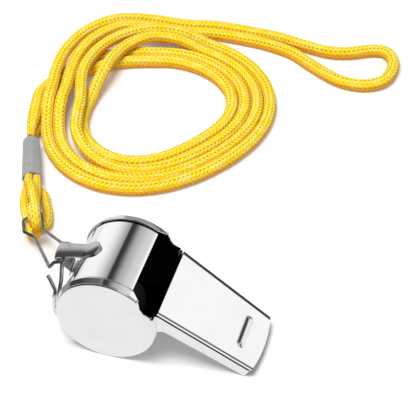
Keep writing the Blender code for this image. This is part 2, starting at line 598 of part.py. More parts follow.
def make_sleeve():
    """Crimp sleeve: a metal tube pressed over the cords, slightly wider at the clip's end."""
    top, bottom = Vector(SLEEVE_TOP), Vector(SLEEVE_BOTTOM)
    axis = (bottom - top).normalized()
    top, bottom = top + axis * SEAM, bottom - axis * SEAM
    mesh = bpy.data.meshes.new("crimp_sleeve")
    shape = bmesh.new()
    bmesh.ops.create_cone(shape, cap_ends=True, segments=28, radius1=SLEEVE_TOP_WIDTH / 2,
                          radius2=SLEEVE_BOTTOM_WIDTH / 2, depth=(bottom - top).length)
    shape.to_mesh(mesh)
    shape.free()
    upright = Vector((0, 0, 1))
    across = upright.cross(axis).normalized()
    frame = Matrix((across, upright * SLEEVE_FLATNESS, axis)).transposed().to_4x4()
    mesh.transform(Matrix.Translation((top + bottom) / 2 - DRAWN_HOME) @ frame)
    sleeve = place("crimp_sleeve", mesh, GREY_METAL, LANYARD)
    smooth(sleeve)


def centre_on_origin():
    """Moves the whole part so that the whistle's own length is centred on the origin."""
    bpy.context.view_layer.update()
    graph = bpy.context.evaluated_depsgraph_get()
    reach = []
    for name in ("mouthpiece_top", "lug", "left_side_plate", "right_side_plate", "split_ring"):
        piece = bpy.data.objects[name].evaluated_get(graph)
        mesh = piece.to_mesh()
        reach += [(piece.matrix_world @ v.co).x for v in mesh.vertices]
        piece.to_mesh_clear()
    STAND.location.x = -(min(reach) + max(reach)) / 2
    bpy.context.view_layer.update()
    print("barrel axis at x mm", round(STAND.location.x / MM, 4), "tilt", round(math.degrees(TILT), 3))


clear_scene()
PARTS = new_collection("Whistle")
GUIDES = new_collection("Guides")
STAND = new_empty("stand")
BODY = new_empty("whistle_body", (0, 0, AXIS_HEIGHT), (0, TILT, 0), STAND)
CLIP_HOME = Vector((CLIP_PIVOT[0], 0, AXIS_HEIGHT + CLIP_PIVOT[1]))
DRAWN_HOME = CLIP_HOME + Vector((BARREL_RADIUS - DRAWN_BARREL, 0, 0))
LANYARD = new_empty("lanyard_pivot", CLIP_HOME, parent=STAND)
make_barrel()
make_side_plate("left_side_plate", -1)
make_side_plate("right_side_plate", 1)
make_mouthpiece_top()
make_windway_floor()
make_pea()
make_lug()
make_split_ring()
make_wire_clip()
make_cords()
make_sleeve()
centre_on_origin()
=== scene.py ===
import json
import math

import bmesh
import bpy
import numpy as np
from mathutils import Matrix


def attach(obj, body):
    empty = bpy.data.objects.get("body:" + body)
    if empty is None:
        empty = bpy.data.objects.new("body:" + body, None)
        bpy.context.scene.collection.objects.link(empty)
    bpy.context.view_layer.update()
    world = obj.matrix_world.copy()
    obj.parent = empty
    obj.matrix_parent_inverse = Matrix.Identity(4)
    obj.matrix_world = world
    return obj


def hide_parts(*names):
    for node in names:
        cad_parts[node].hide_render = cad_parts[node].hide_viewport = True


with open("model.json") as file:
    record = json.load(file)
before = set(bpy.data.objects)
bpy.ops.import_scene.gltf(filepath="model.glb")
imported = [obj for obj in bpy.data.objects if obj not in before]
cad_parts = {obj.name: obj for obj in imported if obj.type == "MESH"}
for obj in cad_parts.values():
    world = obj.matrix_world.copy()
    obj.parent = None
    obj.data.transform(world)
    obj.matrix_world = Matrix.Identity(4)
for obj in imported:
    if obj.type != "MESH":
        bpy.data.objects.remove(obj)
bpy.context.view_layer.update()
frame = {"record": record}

# Camera. The picture is taken from the front left, looking down at about 44 degrees through a long lens, so
# the whistle's discs stay almost round and the coil behind it keeps its width.
MM = 0.001
left_face = frame["record"]["mounts"][0]["pos_m"]
axis_x, axis_height = left_face[0], left_face[2]
VIEW_TURN, VIEW_HEIGHT = 0.287, 0.768
VIEW_DISTANCE = 322.2 * MM
VIEW_SIDE, VIEW_LIFT = 18.69 * MM, 23.60 * MM
LENS = 128.571

towards_camera = np.array([math.sin(VIEW_TURN) * math.cos(VIEW_HEIGHT),
                           -math.cos(VIEW_TURN) * math.cos(VIEW_HEIGHT),
                           math.sin(VIEW_HEIGHT)])
picture_right = np.array([math.cos(VIEW_TURN), math.sin(VIEW_TURN), 0.0])
picture_up = np.cross(towards_camera, picture_right)
camera_place = (picture_right * VIEW_SIDE + picture_up * VIEW_LIFT + towards_camera * VIEW_DISTANCE
                + np.array([axis_x, 0.0, 0.0]))
camera_data = bpy.data.cameras.new("camera")
camera_data.lens = LENS
camera_data.sensor_width = 36.0
camera_data.clip_start = 0.01
camera = bpy.data.objects.new("camera", camera_data)
turned_axes = Matrix([[picture_right[i], picture_up[i], towards_camera[i],
                       camera_place[i]] for i in range(3)] + [[0, 0, 0, 1]])
camera.matrix_world = turned_axes
bpy.context.scene.collection.objects.link(camera)
bpy.context.scene.camera = camera

# Neck cord and its two eyes. A soft knitted cord of yellow yarn, its stitches standing in columns of small
# Vs. It leaves the sleeve doubled, lies in a loose coil with its bight out to the right, and its two short
# ends turn round the wire clip and go back into the sleeve.
CORD_DRAWN = 2.6 * MM           # spacing of the CAD route's layers comes from this
CORD_THICK = 3.1 * MM
EYE_THICK = 2.3 * MM
CORD_AT_SLEEVE = 1.9 * MM
CORD_LIFT = 0.2 * MM           # the knit is fuller than the CAD cord and rests on the same surface
STRAND_PITCH = 3.15 * MM
FLOOR_PLAY = 0.05 * MM
COIL_CENTRE = (-14.1 * MM, 67.1 * MM)
COIL_RADIUS = 18.3 * MM
COIL_WAVES = ((2, -1.4 * MM, 1.0 * MM), (3, 0.6 * MM, 0.6 * MM))
COIL_STEP = 15
OUTER_PLACES = ((185, 3.95), (178, 3.85), (103, 1), (-118, 1), (-150, 0.5), (-165, 0.5), (-182, 1.2),
                (-255, 3),
                (-522, 3), (-592, 5), (-625, 5))
OUTER_LAYERS = ((185, 0.45), (168, 0), (-85, 0), (-140, 1), (-255, 1), (-285, 0), (-500, 0), (-524, 1),
                (-590, 1),
                (-625, 0))
INNER_PLACES = ((185, 2.95), (180, 2.9), (107, 0), (-118, 0), (-150, 0.2), (-198, 0.1), (-255, 2), (-528, 2),
                (-597, 4),
                (-625, 4))
INNER_LAYERS = ((185, 0), (-180, 0), (-200, 1), (-255, 1), (-285, 0), (-500, 0), (-524, 1), (-590, 1),
                (-625, 0))
OUTER_LEAD = ((-38.95, 46.32, 3.45), (-39.5, 48.1, 3.65), (-40.2, 51.0, 4.3), (-41.4, 56.4, 4.2),
              (-42.4, 60.4, 3.7))
INNER_LEAD = ((-38.95, 46.32, 1.5), (-39.5, 48.1, 1.4), (-39.8, 51.5, 1.35), (-39.8, 56.2, 1.35),
              (-40.1, 60.4, 1.35))
BIGHT = ((-9.0, 103.4, 1.35), (-1.0, 103.6, 1.35), (7.0, 103.4, 1.35), (14.4, 102.1, 1.35),
         (21.5, 101.2, 1.35),
         (26.8, 102.4, 1.35), (31.8, 104.9, 1.35), (35.6, 105.2, 1.35), (38.2, 102.2, 1.35),
         (38.6, 97.3, 1.35),
         (37.0, 93.0, 1.35), (32.8, 90.5, 1.35), (27.4, 90.4, 1.35), (22.6, 92.3, 1.35), (17.6, 95.2, 1.35),
         (12.4, 98.2, 1.35), (6.0, 99.8, 1.35), (-1.0, 100.3, 1.35), (-9.0, 100.1, 1.35))
EYE_LEFT = ((-34.27, 33.04, 3.65), (-33.62, 31.3, 3.95), (-33.2, 30.0, 4.9), (-31.95, 28.4, 6.0),
            (-30.2, 25.4, 7.05),
            (-28.5, 22.4, 7.65), (-27.3, 19.9, 7.95), (-26.1, 17.3, 7.9), (-25.4, 15.9, 6.6),
            (-25.55, 16.05, 4.6),
            (-26.1, 16.1, 2.7), (-27.2, 17.0, 1.4), (-28.7, 19.1, 1.1), (-30.6, 22.1, 1.1),
            (-32.2, 24.9, 1.1),
            (-33.4, 27.8, 1.15), (-34.2, 31.1, 1.6), (-34.72, 32.86, 1.74))
EYE_RIGHT = ((-32.58, 33.72, 3.17), (-31.86, 31.98, 3.2), (-31.2, 29.9, 3.5), (-30.4, 27.9, 3.6),
             (-29.7, 25.3, 3.95),
             (-29.15, 23.0, 4.7), (-28.75, 21.2, 5.15), (-28.1, 19.75, 4.7), (-27.8, 19.4, 3.3),
             (-27.1, 19.7, 1.8),
             (-26.1, 20.3, 1.1), (-25.6, 22.0, 1.1), (-26.6, 25.0, 1.1), (-28.2, 27.9, 1.1),
             (-29.6, 30.3, 1.1),
             (-31.9, 31.98, 0.95), (-33.03, 33.54, 1.2))
RING_STEP = 0.26 * MM           # between rings of the cord's surface
AROUND = 24
COLUMNS = 4
STITCH_PITCH = 1.12             # millimetres along the cord
STITCH_SLANT = 0.95
STITCH_DEPTH = 0.17 * MM
STITCH_DIP, COLUMN_DIP = 0.36, 0.33   # shares of the stitch depth
END_TAPER = 2.2                 # cord thicknesses


def glide(stations, angles):
    """Monotone cubic curve through stations of falling angle, flat at every turning point."""
    knots = -np.array(stations, float)[:, 0]
    values = np.array(stations, float)[:, 1]
    steps = np.diff(knots)
    slopes = np.diff(values) / steps
    both = slopes[:-1] * slopes[1:]
    total = np.where(np.abs(slopes[:-1] + slopes[1:]) > 1e-12, slopes[:-1] + slopes[1:], 1)
    tangents = np.concatenate([[0], np.where(both > 0, 2 * both / total, 0), [0]])
    wanted = -np.asarray(angles, float)
    index = np.clip(np.searchsorted(knots, wanted, side="right") - 1, 0, len(steps) - 1)
    share = np.clip((wanted - knots[index]) / steps[index], 0, 1)
    rise = share * share * (3 - 2 * share)
    lift = tangents[index] * share * (1 - share) ** 2 - tangents[index + 1] * share ** 2 * (1 - share)
    return values[index] * (1 - rise) + values[index + 1] * rise + steps[index] * lift


def coil_strand(places, layers):
    """A strand of the coil: an oval whose radius is waved, moved out by strands and up by layers as it
    turns."""
    degrees = np.arange(places[0][0], places[-1][0] - 1, -COIL_STEP)
    angle = np.radians(degrees)
    radius = COIL_RADIUS + glide(places, degrees) * STRAND_PITCH
    for count, cosine, sine in COIL_WAVES:
        radius = radius + cosine * np.cos(count * angle) + sine * np.sin(count * angle)
    height = CORD_DRAWN / 2 + FLOOR_PLAY + glide(layers, degrees) * STRAND_PITCH
    return np.stack([COIL_CENTRE[0] + radius * np.cos(angle), COIL_CENTRE[1] + radius * np.sin(angle),
                     height], axis=1)


def smooth_route(points, spacing):
    """Catmull-Rom curve through the points, read again at an even spacing along its length."""
    route = np.array(points, float)
    padded = np.vstack([2 * route[0] - route[1], route, 2 * route[-1] - route[-2]])
    share = np.linspace(0, 1, 24, endpoint=False)[None, :, None]
    a, b, c, d = (padded[i:len(padded) - 3 + i, None] for i in range(4))
    fine = 0.5 * (2 * b + (c - a) * share + (2 * a - 5 * b + 4 * c - d) * share ** 2
                  + (3 * b - a - 3 * c + d) * share ** 3)
    fine = np.vstack([fine.reshape(-1, 3), route[-1:]])
    length = np.concatenate([[0], np.cumsum(np.linalg.norm(np.diff(fine, axis=0), axis=1))])
    wanted = np.linspace(0, length[-1], max(2, round(length[-1] / spacing)) + 1)
    return np.stack([np.interp(wanted, length, fine[:, axis]) for axis in range(3)], axis=1)


def travelled(path):
    """Distance from the path's start to each of its points."""
    return np.concatenate([[0], np.cumsum(np.linalg.norm(np.diff(path, axis=0), axis=1))])


def carry(path, reference, section):
    """Profile carried along a path: each profile point is set off along a side vector, the reference made
    square to the path's run, and along an up vector square to both."""
    run = np.gradient(path, axis=0)
    run /= np.linalg.norm(run, axis=1, keepdims=True)
    reference = np.broadcast_to(np.asarray(reference, float), run.shape)
    side = reference - run * (run * reference).sum(axis=1, keepdims=True)
    side /= np.linalg.norm(side, axis=1, keepdims=True)
    up = np.cross(side, run)
    return path[:, None] + section[..., :1] * side[:, None] + section[..., 1:] * up[:, None]


def closed_faces(rows, columns):
    """Quads of a grid that closes round its columns, and one flat cap on its first and on its last row."""
    row, column = np.mgrid[0:rows - 1, 0:columns]
    ahead = (column + 1) % columns
    quads = np.stack([row * columns + column, row * columns + ahead, (row + 1) * columns + ahead,
                      (row + 1) * columns + column],
                     axis=-1).reshape(-1, 4)
    return quads.tolist() + [list(range(columns))[::-1], list(range((rows - 1) * columns, rows * columns))]


def wrapped_uv(along, columns):
    """U is the distance along in millimetres and V the share of the way round, for the loops of
    closed_faces."""
    rows = len(along)
    row, column = np.mgrid[0:rows - 1, 0:columns]
    across = np.stack([column, column + 1, column + 1, column], axis=-1) / columns
    lengthwise = along[np.stack([row, row, row + 1, row + 1], axis=-1)] / MM
    flat = np.stack([lengthwise, across], axis=-1).reshape(-1, 2)
    caps = np.stack([np.repeat([along[0] / MM, along[-1] / MM], columns),
                     np.tile(np.arange(columns) / columns, 2)], axis=-1)
    return np.vstack([flat, caps])


def to_piece(name, points, faces, material, body, node, uv=None, sharp=40):
    """Puts points and faces into a mesh with its faces turned outwards, in place of a CAD node on its
    body."""
    mesh = bpy.data.meshes.new(name)
    mesh.from_pydata(np.asarray(points).reshape(-1, 3).tolist(), [], faces)
    if uv is not None:
        layer = mesh.uv_layers.new(name="UVMap")
        layer.data.foreach_set("uv", np.asarray(uv, np.float32).ravel())
    shape = bmesh.new()
    shape.from_mesh(mesh)
    bmesh.ops.recalc_face_normals(shape, faces=shape.faces)
    shape.to_mesh(mesh)
    shape.free()
    mesh.shade_smooth()
    mesh.set_sharp_from_angle(angle=math.radians(sharp))
    mesh.materials.append(material)
    piece = bpy.data.objects.new(name, mesh)
    bpy.context.scene.collection.objects.link(piece)
    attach(piece, body)
    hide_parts(node)
    return piece


def add(tree, kind, values=(), **settings):
    """Adds a shader node; values gives its inputs, by name or number, a constant or another node's output."""
    made = tree.nodes.new("ShaderNode" + kind)
    for key, value in settings.items():
        setattr(made, key, value)
    for key, value in dict(values).items():
        if isinstance(value, bpy.types.NodeSocket):
            tree.links.new(value, made.inputs[key])
        else:
            made.inputs[key].default_value = value
    return made


def sum_up(tree, operation, *terms):
    """One step of arithmetic on numbers and outputs."""
    return add(tree, "Math", enumerate(terms), operation=operation).outputs[0]


def all_of(tree, first, *others):
    """Product of masks."""
    for other in others:
        first = sum_up(tree, "MULTIPLY", first, other)
    return first


def zigzag(tree, value):
    """1 at each whole number and 0 halfway between two."""
    return sum_up(tree, "ABSOLUTE", sum_up(tree, "MULTIPLY_ADD", sum_up(tree, "FRACT", value), 2.0, -1.0))


def tint(tree, share, low, high):
    """Colour between two colours."""
    return add(tree, "Mix", {0: share, 6: low, 7: high}, data_type="RGBA").outputs[2]


def spread(tree, value, low, high, out_low=0.0, out_high=1.0):
    """A value's range mapped onto another, clamped, with a smooth start and end."""
    return add(tree, "MapRange", {0: value, 1: low, 2: high, 3: out_low, 4: out_high},
               interpolation_type="SMOOTHSTEP").outputs[0]


def grain(tree, vector, scale, detail=2.0, roughness=0.5):
    """Noise between 0 and 1."""
    return add(tree, "TexNoise", {"Vector": vector, "Scale": scale, "Detail": detail,
                                  "Roughness": roughness}).outputs[0]


def new_material(name):
    """An empty material with its tree and its Principled shader."""
    look = bpy.data.materials.new(name)
    look.use_nodes = True
    return look, look.node_tree, look.node_tree.nodes["Principled BSDF"]


def connect(tree, shader, **values):
    """Sets the shader's inputs, written with underscores for spaces, to constants or outputs."""
    for key, value in values.items():
        socket = shader.inputs[key.replace("_", " ")]
        if isinstance(value, bpy.types.NodeSocket):
            tree.links.new(value, socket)
        else:
            socket.default_value = value


yarn_gold = (0.98, 0.86, 0.03, 1)
yarn_amber_and_groove_shade = (0.98, 0.58, 0.002, 1)
yarn_pale_and_highlight = (1.0, 0.93, 0.30, 1)
yarn_groove_shade_dots = (0.42, 0.29, 0.008, 1)
yarn_underside_shade = (1.0, 0.42, 0.0, 1)
cord_yarn, tree, shader = new_material("cord_yarn")
uv = add(tree, "TexCoord").outputs["UV"]
along, round_share, _ = add(tree, "SeparateXYZ", {0: uv}).outputs
column = sum_up(tree, "MULTIPLY", round_share, float(COLUMNS))
leg = sum_up(tree, "MULTIPLY", column, 2.0)
from_middle = zigzag(tree, column)
stitches_along = sum_up(tree, "DIVIDE", along, STITCH_PITCH)
stitch_count = sum_up(tree, "MULTIPLY_ADD", from_middle, STITCH_SLANT, stitches_along)
in_stitch = zigzag(tree, stitch_count)
in_leg = zigzag(tree, leg)
stitch_crown = sum_up(tree, "SUBTRACT", 1.0, sum_up(tree, "POWER", in_stitch, 1.7))
leg_crown = sum_up(tree, "SUBTRACT", 1.0, sum_up(tree, "POWER", in_leg, 3.0))
crown = sum_up(tree, "MULTIPLY", stitch_crown, leg_crown)
stitch_place = add(tree, "CombineXYZ", {0: sum_up(tree, "FLOOR", stitch_count),
                                        1: sum_up(tree, "FLOOR", leg)}).outputs[0]
stitch_luck = add(tree, "TexWhiteNoise", {"Vector": stitch_place}, noise_dimensions="2D").outputs[0]
fibre_place = add(tree, "CombineXYZ", {0: sum_up(tree, "MULTIPLY", in_stitch, 7.0),
                                       1: sum_up(tree, "MULTIPLY", along, 0.9),
                                       2: sum_up(tree, "MULTIPLY", column, 3.0)}).outputs[0]
fibres = grain(tree, fibre_place, 1.6, 3.0, 0.6)
wander = grain(tree, add(tree, "TexCoord").outputs["Object"], 60.0, 2.0)
crown_with_fibres = sum_up(tree, "ADD", crown, sum_up(tree, "MULTIPLY_ADD", fibres, 0.35, -0.17))
# Painted shade and painted highlight: the yarn is coloured darker amber in the dips between stitches and
# paler on the stitch crowns, following their relief. The fibre noise, the random pale stitches and the slow
# amber wander are the yarn's own tone.
colour = tint(tree, spread(tree, crown_with_fibres, 0.05, 0.75), yarn_amber_and_groove_shade, yarn_gold)
colour = tint(tree, spread(tree, stitch_luck, 0.35, 1.0, 0.0, 0.45), colour, yarn_pale_and_highlight)
colour = tint(tree, spread(tree, crown, 0.7, 1.0, 0.0, 0.5), colour, yarn_pale_and_highlight)
colour = tint(tree, spread(tree, wander, 0.35, 0.75, 0.0, 0.25), colour, yarn_amber_and_groove_shade)
# Painted shade: faces turned sideways and downwards are tinted deep orange, standing in for the shade and
# warm bounce under and between the strands.
facing_up = add(tree, "SeparateXYZ", {0: add(tree, "NewGeometry").outputs["Normal"]}).outputs[2]
colour = tint(tree, spread(tree, facing_up, -0.1, 0.7, 0.9, 0.0), colour, yarn_underside_shade)
# Painted shade: olive-brown dots in the grooves between the columns, where they meet the dips between
# stitches.
groove_shade_dots = sum_up(tree, "MULTIPLY", spread(tree, from_middle, 0.70, 0.98), spread(tree, in_stitch, 0.3, 0.95))
colour = tint(tree, sum_up(tree, "MULTIPLY", groove_shade_dots, 0.9), colour, yarn_groove_shade_dots)
height = sum_up(tree, "ADD", crown, sum_up(tree, "MULTIPLY", fibres, 0.25))
bump = add(tree, "Bump", {"Strength": 0.9, "Distance": 0.16 * MM, "Height": height}).outputs[0]
connect(tree, shader, Base_Color=colour, Roughness=spread(tree, fibres, 0.2, 0.8, 0.62, 0.8), Normal=bump,
        Specular_IOR_Level=0.15)


def stitched_section(path, thick, thin_ends):
    """Round section whose radius dips between stitches: a rounded ridge along each leg of each V, set back by
    the columns' grooves, the whole turned slowly along the cord."""
    along = travelled(path) / MM
    place = np.arange(AROUND) / AROUND * COLUMNS
    from_middle = np.abs(2 * (place % 1) - 1)
    in_leg = np.abs(2 * ((2 * place) % 1) - 1)
    phase = along[:, None] / STITCH_PITCH + STITCH_SLANT * from_middle[None]
    ridge = np.sqrt(np.clip(1 - (2 * (phase % 1) - 1) ** 2, 0, 1))
    dip = (1 - ridge) * STITCH_DIP + (in_leg ** 2)[None] * COLUMN_DIP
    near = np.clip(np.minimum(along, along[-1] - along) * MM / (END_TAPER * thick), 0, 1)
    share = thin_ends / thick + (1 - thin_ends / thick) * near * near * (3 - 2 * near)
    radius = (thick / 2 - STITCH_DEPTH * dip) * share[:, None]
    twist = 0.8 * np.sin(along / 37) + 0.5 * np.sin(along / 83 + 1)
    angle = 2 * math.pi * np.arange(AROUND)[None] / AROUND + twist[:, None]
    return np.stack([radius * np.cos(angle), radius * np.sin(angle)], axis=-1)


def lay_cord(name, node, route, thick, reference):
    path = smooth_route(route, RING_STEP) + np.array([axis_x, 0.0, CORD_LIFT])
    grid = carry(path, reference, stitched_section(path, thick, CORD_AT_SLEEVE))
    piece = to_piece(name, grid, closed_faces(*grid.shape[:2]), cord_yarn, "lanyard", node,
                     wrapped_uv(travelled(path), AROUND), sharp=180)
    piece.visible_glossy = False
    return piece


outer = np.vstack([np.array(OUTER_LEAD) * MM, coil_strand(OUTER_PLACES, OUTER_LAYERS)])
inner = np.vstack([np.array(INNER_LEAD) * MM, coil_strand(INNER_PLACES, INNER_LAYERS)])
neck_route = np.vstack([outer, np.array(BIGHT) * MM, inner[::-1]])
lay_cord("neck_cord_knit", "neck_cord", neck_route, CORD_THICK, (0, 0, 1))
lay_cord("left_eye_knit", "cord_eye_left", np.array(EYE_LEFT) * MM, EYE_THICK, (-0.887, -0.461, 0))
lay_cord("right_eye_knit", "cord_eye_right", np.array(EYE_RIGHT) * MM, EYE_THICK, (-0.887, -0.461, 0))

# Crimp sleeve. A short tube of soft grey metal, slid over the four cord ends and pressed from both sides,
# which leaves faint lengthwise creases; it is a little wider where the eyes come out.
SLEEVE_TOP = np.array([-38.9, 46.2, 2.45]) * MM
SLEEVE_BOTTOM = np.array([-33.7, 33.4, 2.45]) * MM
SLEEVE_TOP_WIDTH = 4.0 * MM
SLEEVE_BOTTOM_WIDTH = 4.8 * MM
SLEEVE_SEAM = 0.3 * MM
SLEEVE_WALL = 0.3 * MM
MOUTH_DEPTH = 0.5 * MM
CREASES = ((62, 7, 0.10), (96, 6, 0.13), (124, 6, 0.08), (-60, 7, 0.10),
           (-100, 8, 0.12))   # place, width, depth


def turned(along, out, angles, origin, axis, side, up, flatness=1.0):
    """Profile turned about an axis: each row goes along the axis and out along a vector that turns from side
    to up."""
    along, out = np.asarray(along)[..., None], np.asarray(out)[..., None]
    if along.ndim == 2:
        along, out = along[:, None], out[:, None]
    spoke = np.cos(angles)[:, None] * np.asarray(side) + np.sin(angles)[:, None] * np.asarray(up) * flatness
    return np.asarray(origin) + along * np.asarray(axis) + out * spoke[None]


sleeve_metal, tree, shader = new_material("sleeve_metal")
along, round_share, _ = add(tree, "SeparateXYZ", {0: add(tree, "TexCoord").outputs["UV"]}).outputs
streak_place = add(tree, "CombineXYZ", {0: sum_up(tree, "MULTIPLY", along, 0.25),
                                        1: sum_up(tree, "MULTIPLY", round_share, 46.0)}).outputs[0]
streaks = grain(tree, streak_place, 1.0, 4.0, 0.6)
smears = grain(tree, add(tree, "TexCoord").outputs["Object"], 420.0, 3.0)
colour = tint(tree, spread(tree, streaks, 0.3, 0.7), (0.42, 0.42, 0.42, 1), (0.50, 0.50, 0.50, 1))
colour = tint(tree, spread(tree, smears, 0.5, 0.8, 0.0, 0.4), colour, (0.38, 0.38, 0.38, 1))
bump = add(tree, "Bump", {"Strength": 0.2, "Distance": 0.05 * MM, "Height": streaks}).outputs[0]
connect(tree, shader, Base_Color=colour, Metallic=0.3, Roughness=spread(tree, smears, 0.2, 0.8, 0.45, 0.6),
        Normal=bump)

sleeve_axis = (SLEEVE_BOTTOM - SLEEVE_TOP) / np.linalg.norm(SLEEVE_BOTTOM - SLEEVE_TOP)
sleeve_length = np.linalg.norm(SLEEVE_BOTTOM - SLEEVE_TOP) - 2 * SLEEVE_SEAM
sleeve_start = SLEEVE_TOP + sleeve_axis * SLEEVE_SEAM + np.array([axis_x, 0.0, 0.0])
wall = np.linspace(0.12, sleeve_length / MM - 0.12, 40) * MM
along = np.concatenate([[MOUTH_DEPTH, 0.1 * MM, 0.03 * MM, 0, 0.03 * MM], wall,
                        sleeve_length - np.array([0.03, 0, 0.03, 0.1]) * MM, [sleeve_length - MOUTH_DEPTH]])
inset = np.concatenate([[SLEEVE_WALL, SLEEVE_WALL, SLEEVE_WALL * 0.8, SLEEVE_WALL / 2, 0.06 * MM],
                        np.zeros(len(wall)),
                        [0.06 * MM, SLEEVE_WALL / 2, SLEEVE_WALL * 0.8, SLEEVE_WALL, SLEEVE_WALL]])
half_width = (SLEEVE_TOP_WIDTH + (SLEEVE_BOTTOM_WIDTH - SLEEVE_TOP_WIDTH) * along / sleeve_length) / 2
angles = np.linspace(0, 2 * math.pi, 96, endpoint=False)
press = sum(np.exp(-((np.degrees(angles) - place + 180) % 360 - 180) ** 2 / (2 * width ** 2)) * deep
            for place, width, deep in CREASES)
inside_wall = np.sin(math.pi * np.clip(along / sleeve_length, 0, 1)) ** 0.5
out = (half_width - inset)[:, None] - press[None] * MM * inside_wall[:, None]
grid = turned(np.broadcast_to(along[:, None], out.shape), out, angles, sleeve_start, sleeve_axis,
              np.cross([0, 0, 1], sleeve_axis), (0, 0, 1), 0.98)
to_piece("sleeve_tube", grid, closed_faces(*grid.shape[:2]), sleeve_metal, "lanyard", "crimp_sleeve",
         wrapped_uv(along, len(angles)))

# Wire clip. One length of drawn steel wire, bent in a long loop: its two ends butt inside the whistle's lug
# and its far end widens into a bulb that the cord's eyes hold.
CLIP_WIRE = 0.72 * MM
CLIP_X, CLIP_Z = -11.7, 17.23
CLIP_ROUTE = ((CLIP_X, 0.2, CLIP_Z), (CLIP_X, 2.6, CLIP_Z), (-12.75, 3.35, 16.5), (-15.8, 7.2, 12.0),
              (-23.7, 16.4, 4.6),
              (-24.9, 17.7, 3.9), (-27.4, 23.3, 3.35), (-30.3, 19.3, 3.35), (-28.6, 15.6, 3.8),
              (-25.3, 13.9, 4.6),
              (-14.4, -3.2, 15.3), (-13.3, -3.1, 17.0), (CLIP_X, -2.75, CLIP_Z), (CLIP_X, -0.2, CLIP_Z))
CLIP_BEND = 0.8


def rounded(points, radii, count=8):
    """Polyline whose inner corners are turned into arcs: each arc is the turn between the two tangent
    points."""
    out = [np.array(points[0], float)]
    for before, corner, after, radius in zip(points[:-2], points[1:-1], points[2:], radii):
        before, corner, after = (np.array(p, float) for p in (before, corner, after))
        back = (before - corner) / np.linalg.norm(before - corner)
        ahead = (after - corner) / np.linalg.norm(after - corner)
        half = math.acos(max(-1, min(1, float(back @ ahead)))) / 2
        if radius <= 0 or half > math.radians(89):
            out.append(corner)
            continue
        centre = corner + (back + ahead) / np.linalg.norm(back + ahead) * radius / math.sin(half)
        first = corner + back * radius / math.tan(half) - centre
        last = corner + ahead * radius / math.tan(half) - centre
        turn = math.pi - 2 * half
        share = np.linspace(0, 1, count + 1)[:, None]
        swung = first * np.sin((1 - share) * turn) + last * np.sin(share * turn)
        out += list(centre + swung / math.sin(turn))
    out.append(np.array(points[-1], float))
    return np.array(out)


def free_frames(path):
    """Side vectors that turn as little as they can along the path, each carried on from the one before."""
    run = np.gradient(path, axis=0)
    run /= np.linalg.norm(run, axis=1, keepdims=True)
    side = np.cross(run[0], (0, 0, 1.0)) if abs(run[0][2]) < 0.9 else np.array([1.0, 0, 0])
    sides = []
    for step in run:
        side = side - step * (side @ step)
        side /= np.linalg.norm(side)
        sides.append(side)
    return np.array(sides)


def drawn_wire(name, path, thick, material, body, node, count=20):
    """Round wire along a path, its ends domed by shrinking rings."""
    path = np.asarray(path, float)
    run_in, run_out = path[0] - path[1], path[-1] - path[-2]
    run_in, run_out = run_in / np.linalg.norm(run_in), run_out / np.linalg.norm(run_out)
    dome = np.array([0.30, 0.24, 0.13, 0.04]) * thick
    shrink = np.array([0.35, 0.65, 0.88, 0.98])
    full = np.vstack([path[0] + run_in * dome[:, None], path, path[-1] + run_out * dome[::-1, None]])
    size = np.concatenate([shrink, np.ones(len(path)), shrink[::-1]])
    angle = 2 * math.pi * np.arange(count) / count
    circle = np.stack([np.cos(angle), np.sin(angle)], axis=-1)
    section = circle[None] * (thick / 2 * size)[:, None, None]
    grid = carry(full, free_frames(full), section)
    return to_piece(name, grid, closed_faces(*grid.shape[:2]), material, body, node,
                    wrapped_uv(travelled(full), count), sharp=60)


def wire_finish(name, dark, bright, rough_low, rough_high):
    """Drawn wire: streaks along its length from the die, and blotches where the plating is thin."""
    look, tree, shader = new_material(name)
    along, round_share, _ = add(tree, "SeparateXYZ", {0: add(tree, "TexCoord").outputs["UV"]}).outputs
    place = add(tree, "CombineXYZ", {0: sum_up(tree, "MULTIPLY", along, 0.35),
                                     1: sum_up(tree, "MULTIPLY", round_share, 22.0)}).outputs[0]
    lines = grain(tree, place, 1.0, 3.0, 0.6)
    blotch = grain(tree, add(tree, "TexCoord").outputs["Object"], 700.0, 3.0)
    colour = tint(tree, spread(tree, blotch, 0.42, 0.68), bright, dark)
    bump = add(tree, "Bump", {"Strength": 0.25, "Distance": 0.02 * MM, "Height": lines}).outputs[0]
    connect(tree, shader, Base_Color=colour, Metallic=1.0,
            Roughness=spread(tree, lines, 0.3, 0.7, rough_low, rough_high), Normal=bump)
    return look


clip_finish = wire_finish("clip_steel", (0.12, 0.12, 0.125, 1), (0.26, 0.26, 0.265, 1), 0.2, 0.38)
clip_path = rounded(CLIP_ROUTE, [CLIP_BEND] * (len(CLIP_ROUTE) - 2)) * MM + np.array([axis_x, 0.0, 0.0])
drawn_wire("clip_wire", clip_path, CLIP_WIRE, clip_finish, "lanyard", "wire_clip")

# Split ring. A bright wire coiled a little under two turns, the turns lying side by side and stepping past
# each other once; it is wound on through the lug, and its free end is sprung out to start it.
RING_RADIUS = 7.6 * MM
RING_WIRE = 0.86 * MM
RING_PITCH = 1.0 * MM
RING_PIVOT = np.array([-11.65 * MM + axis_x, 0, axis_height + 5.4 * MM])
RING_START, RING_JOG, RING_JOG_SPAN, RING_SWEEP = 150.0, 305.0, 42.0, 652.0
RING_SPRUNG = np.array([(-2.3, -5.3, -1.45), (-1.5, -5.85, -2.45)]) * MM

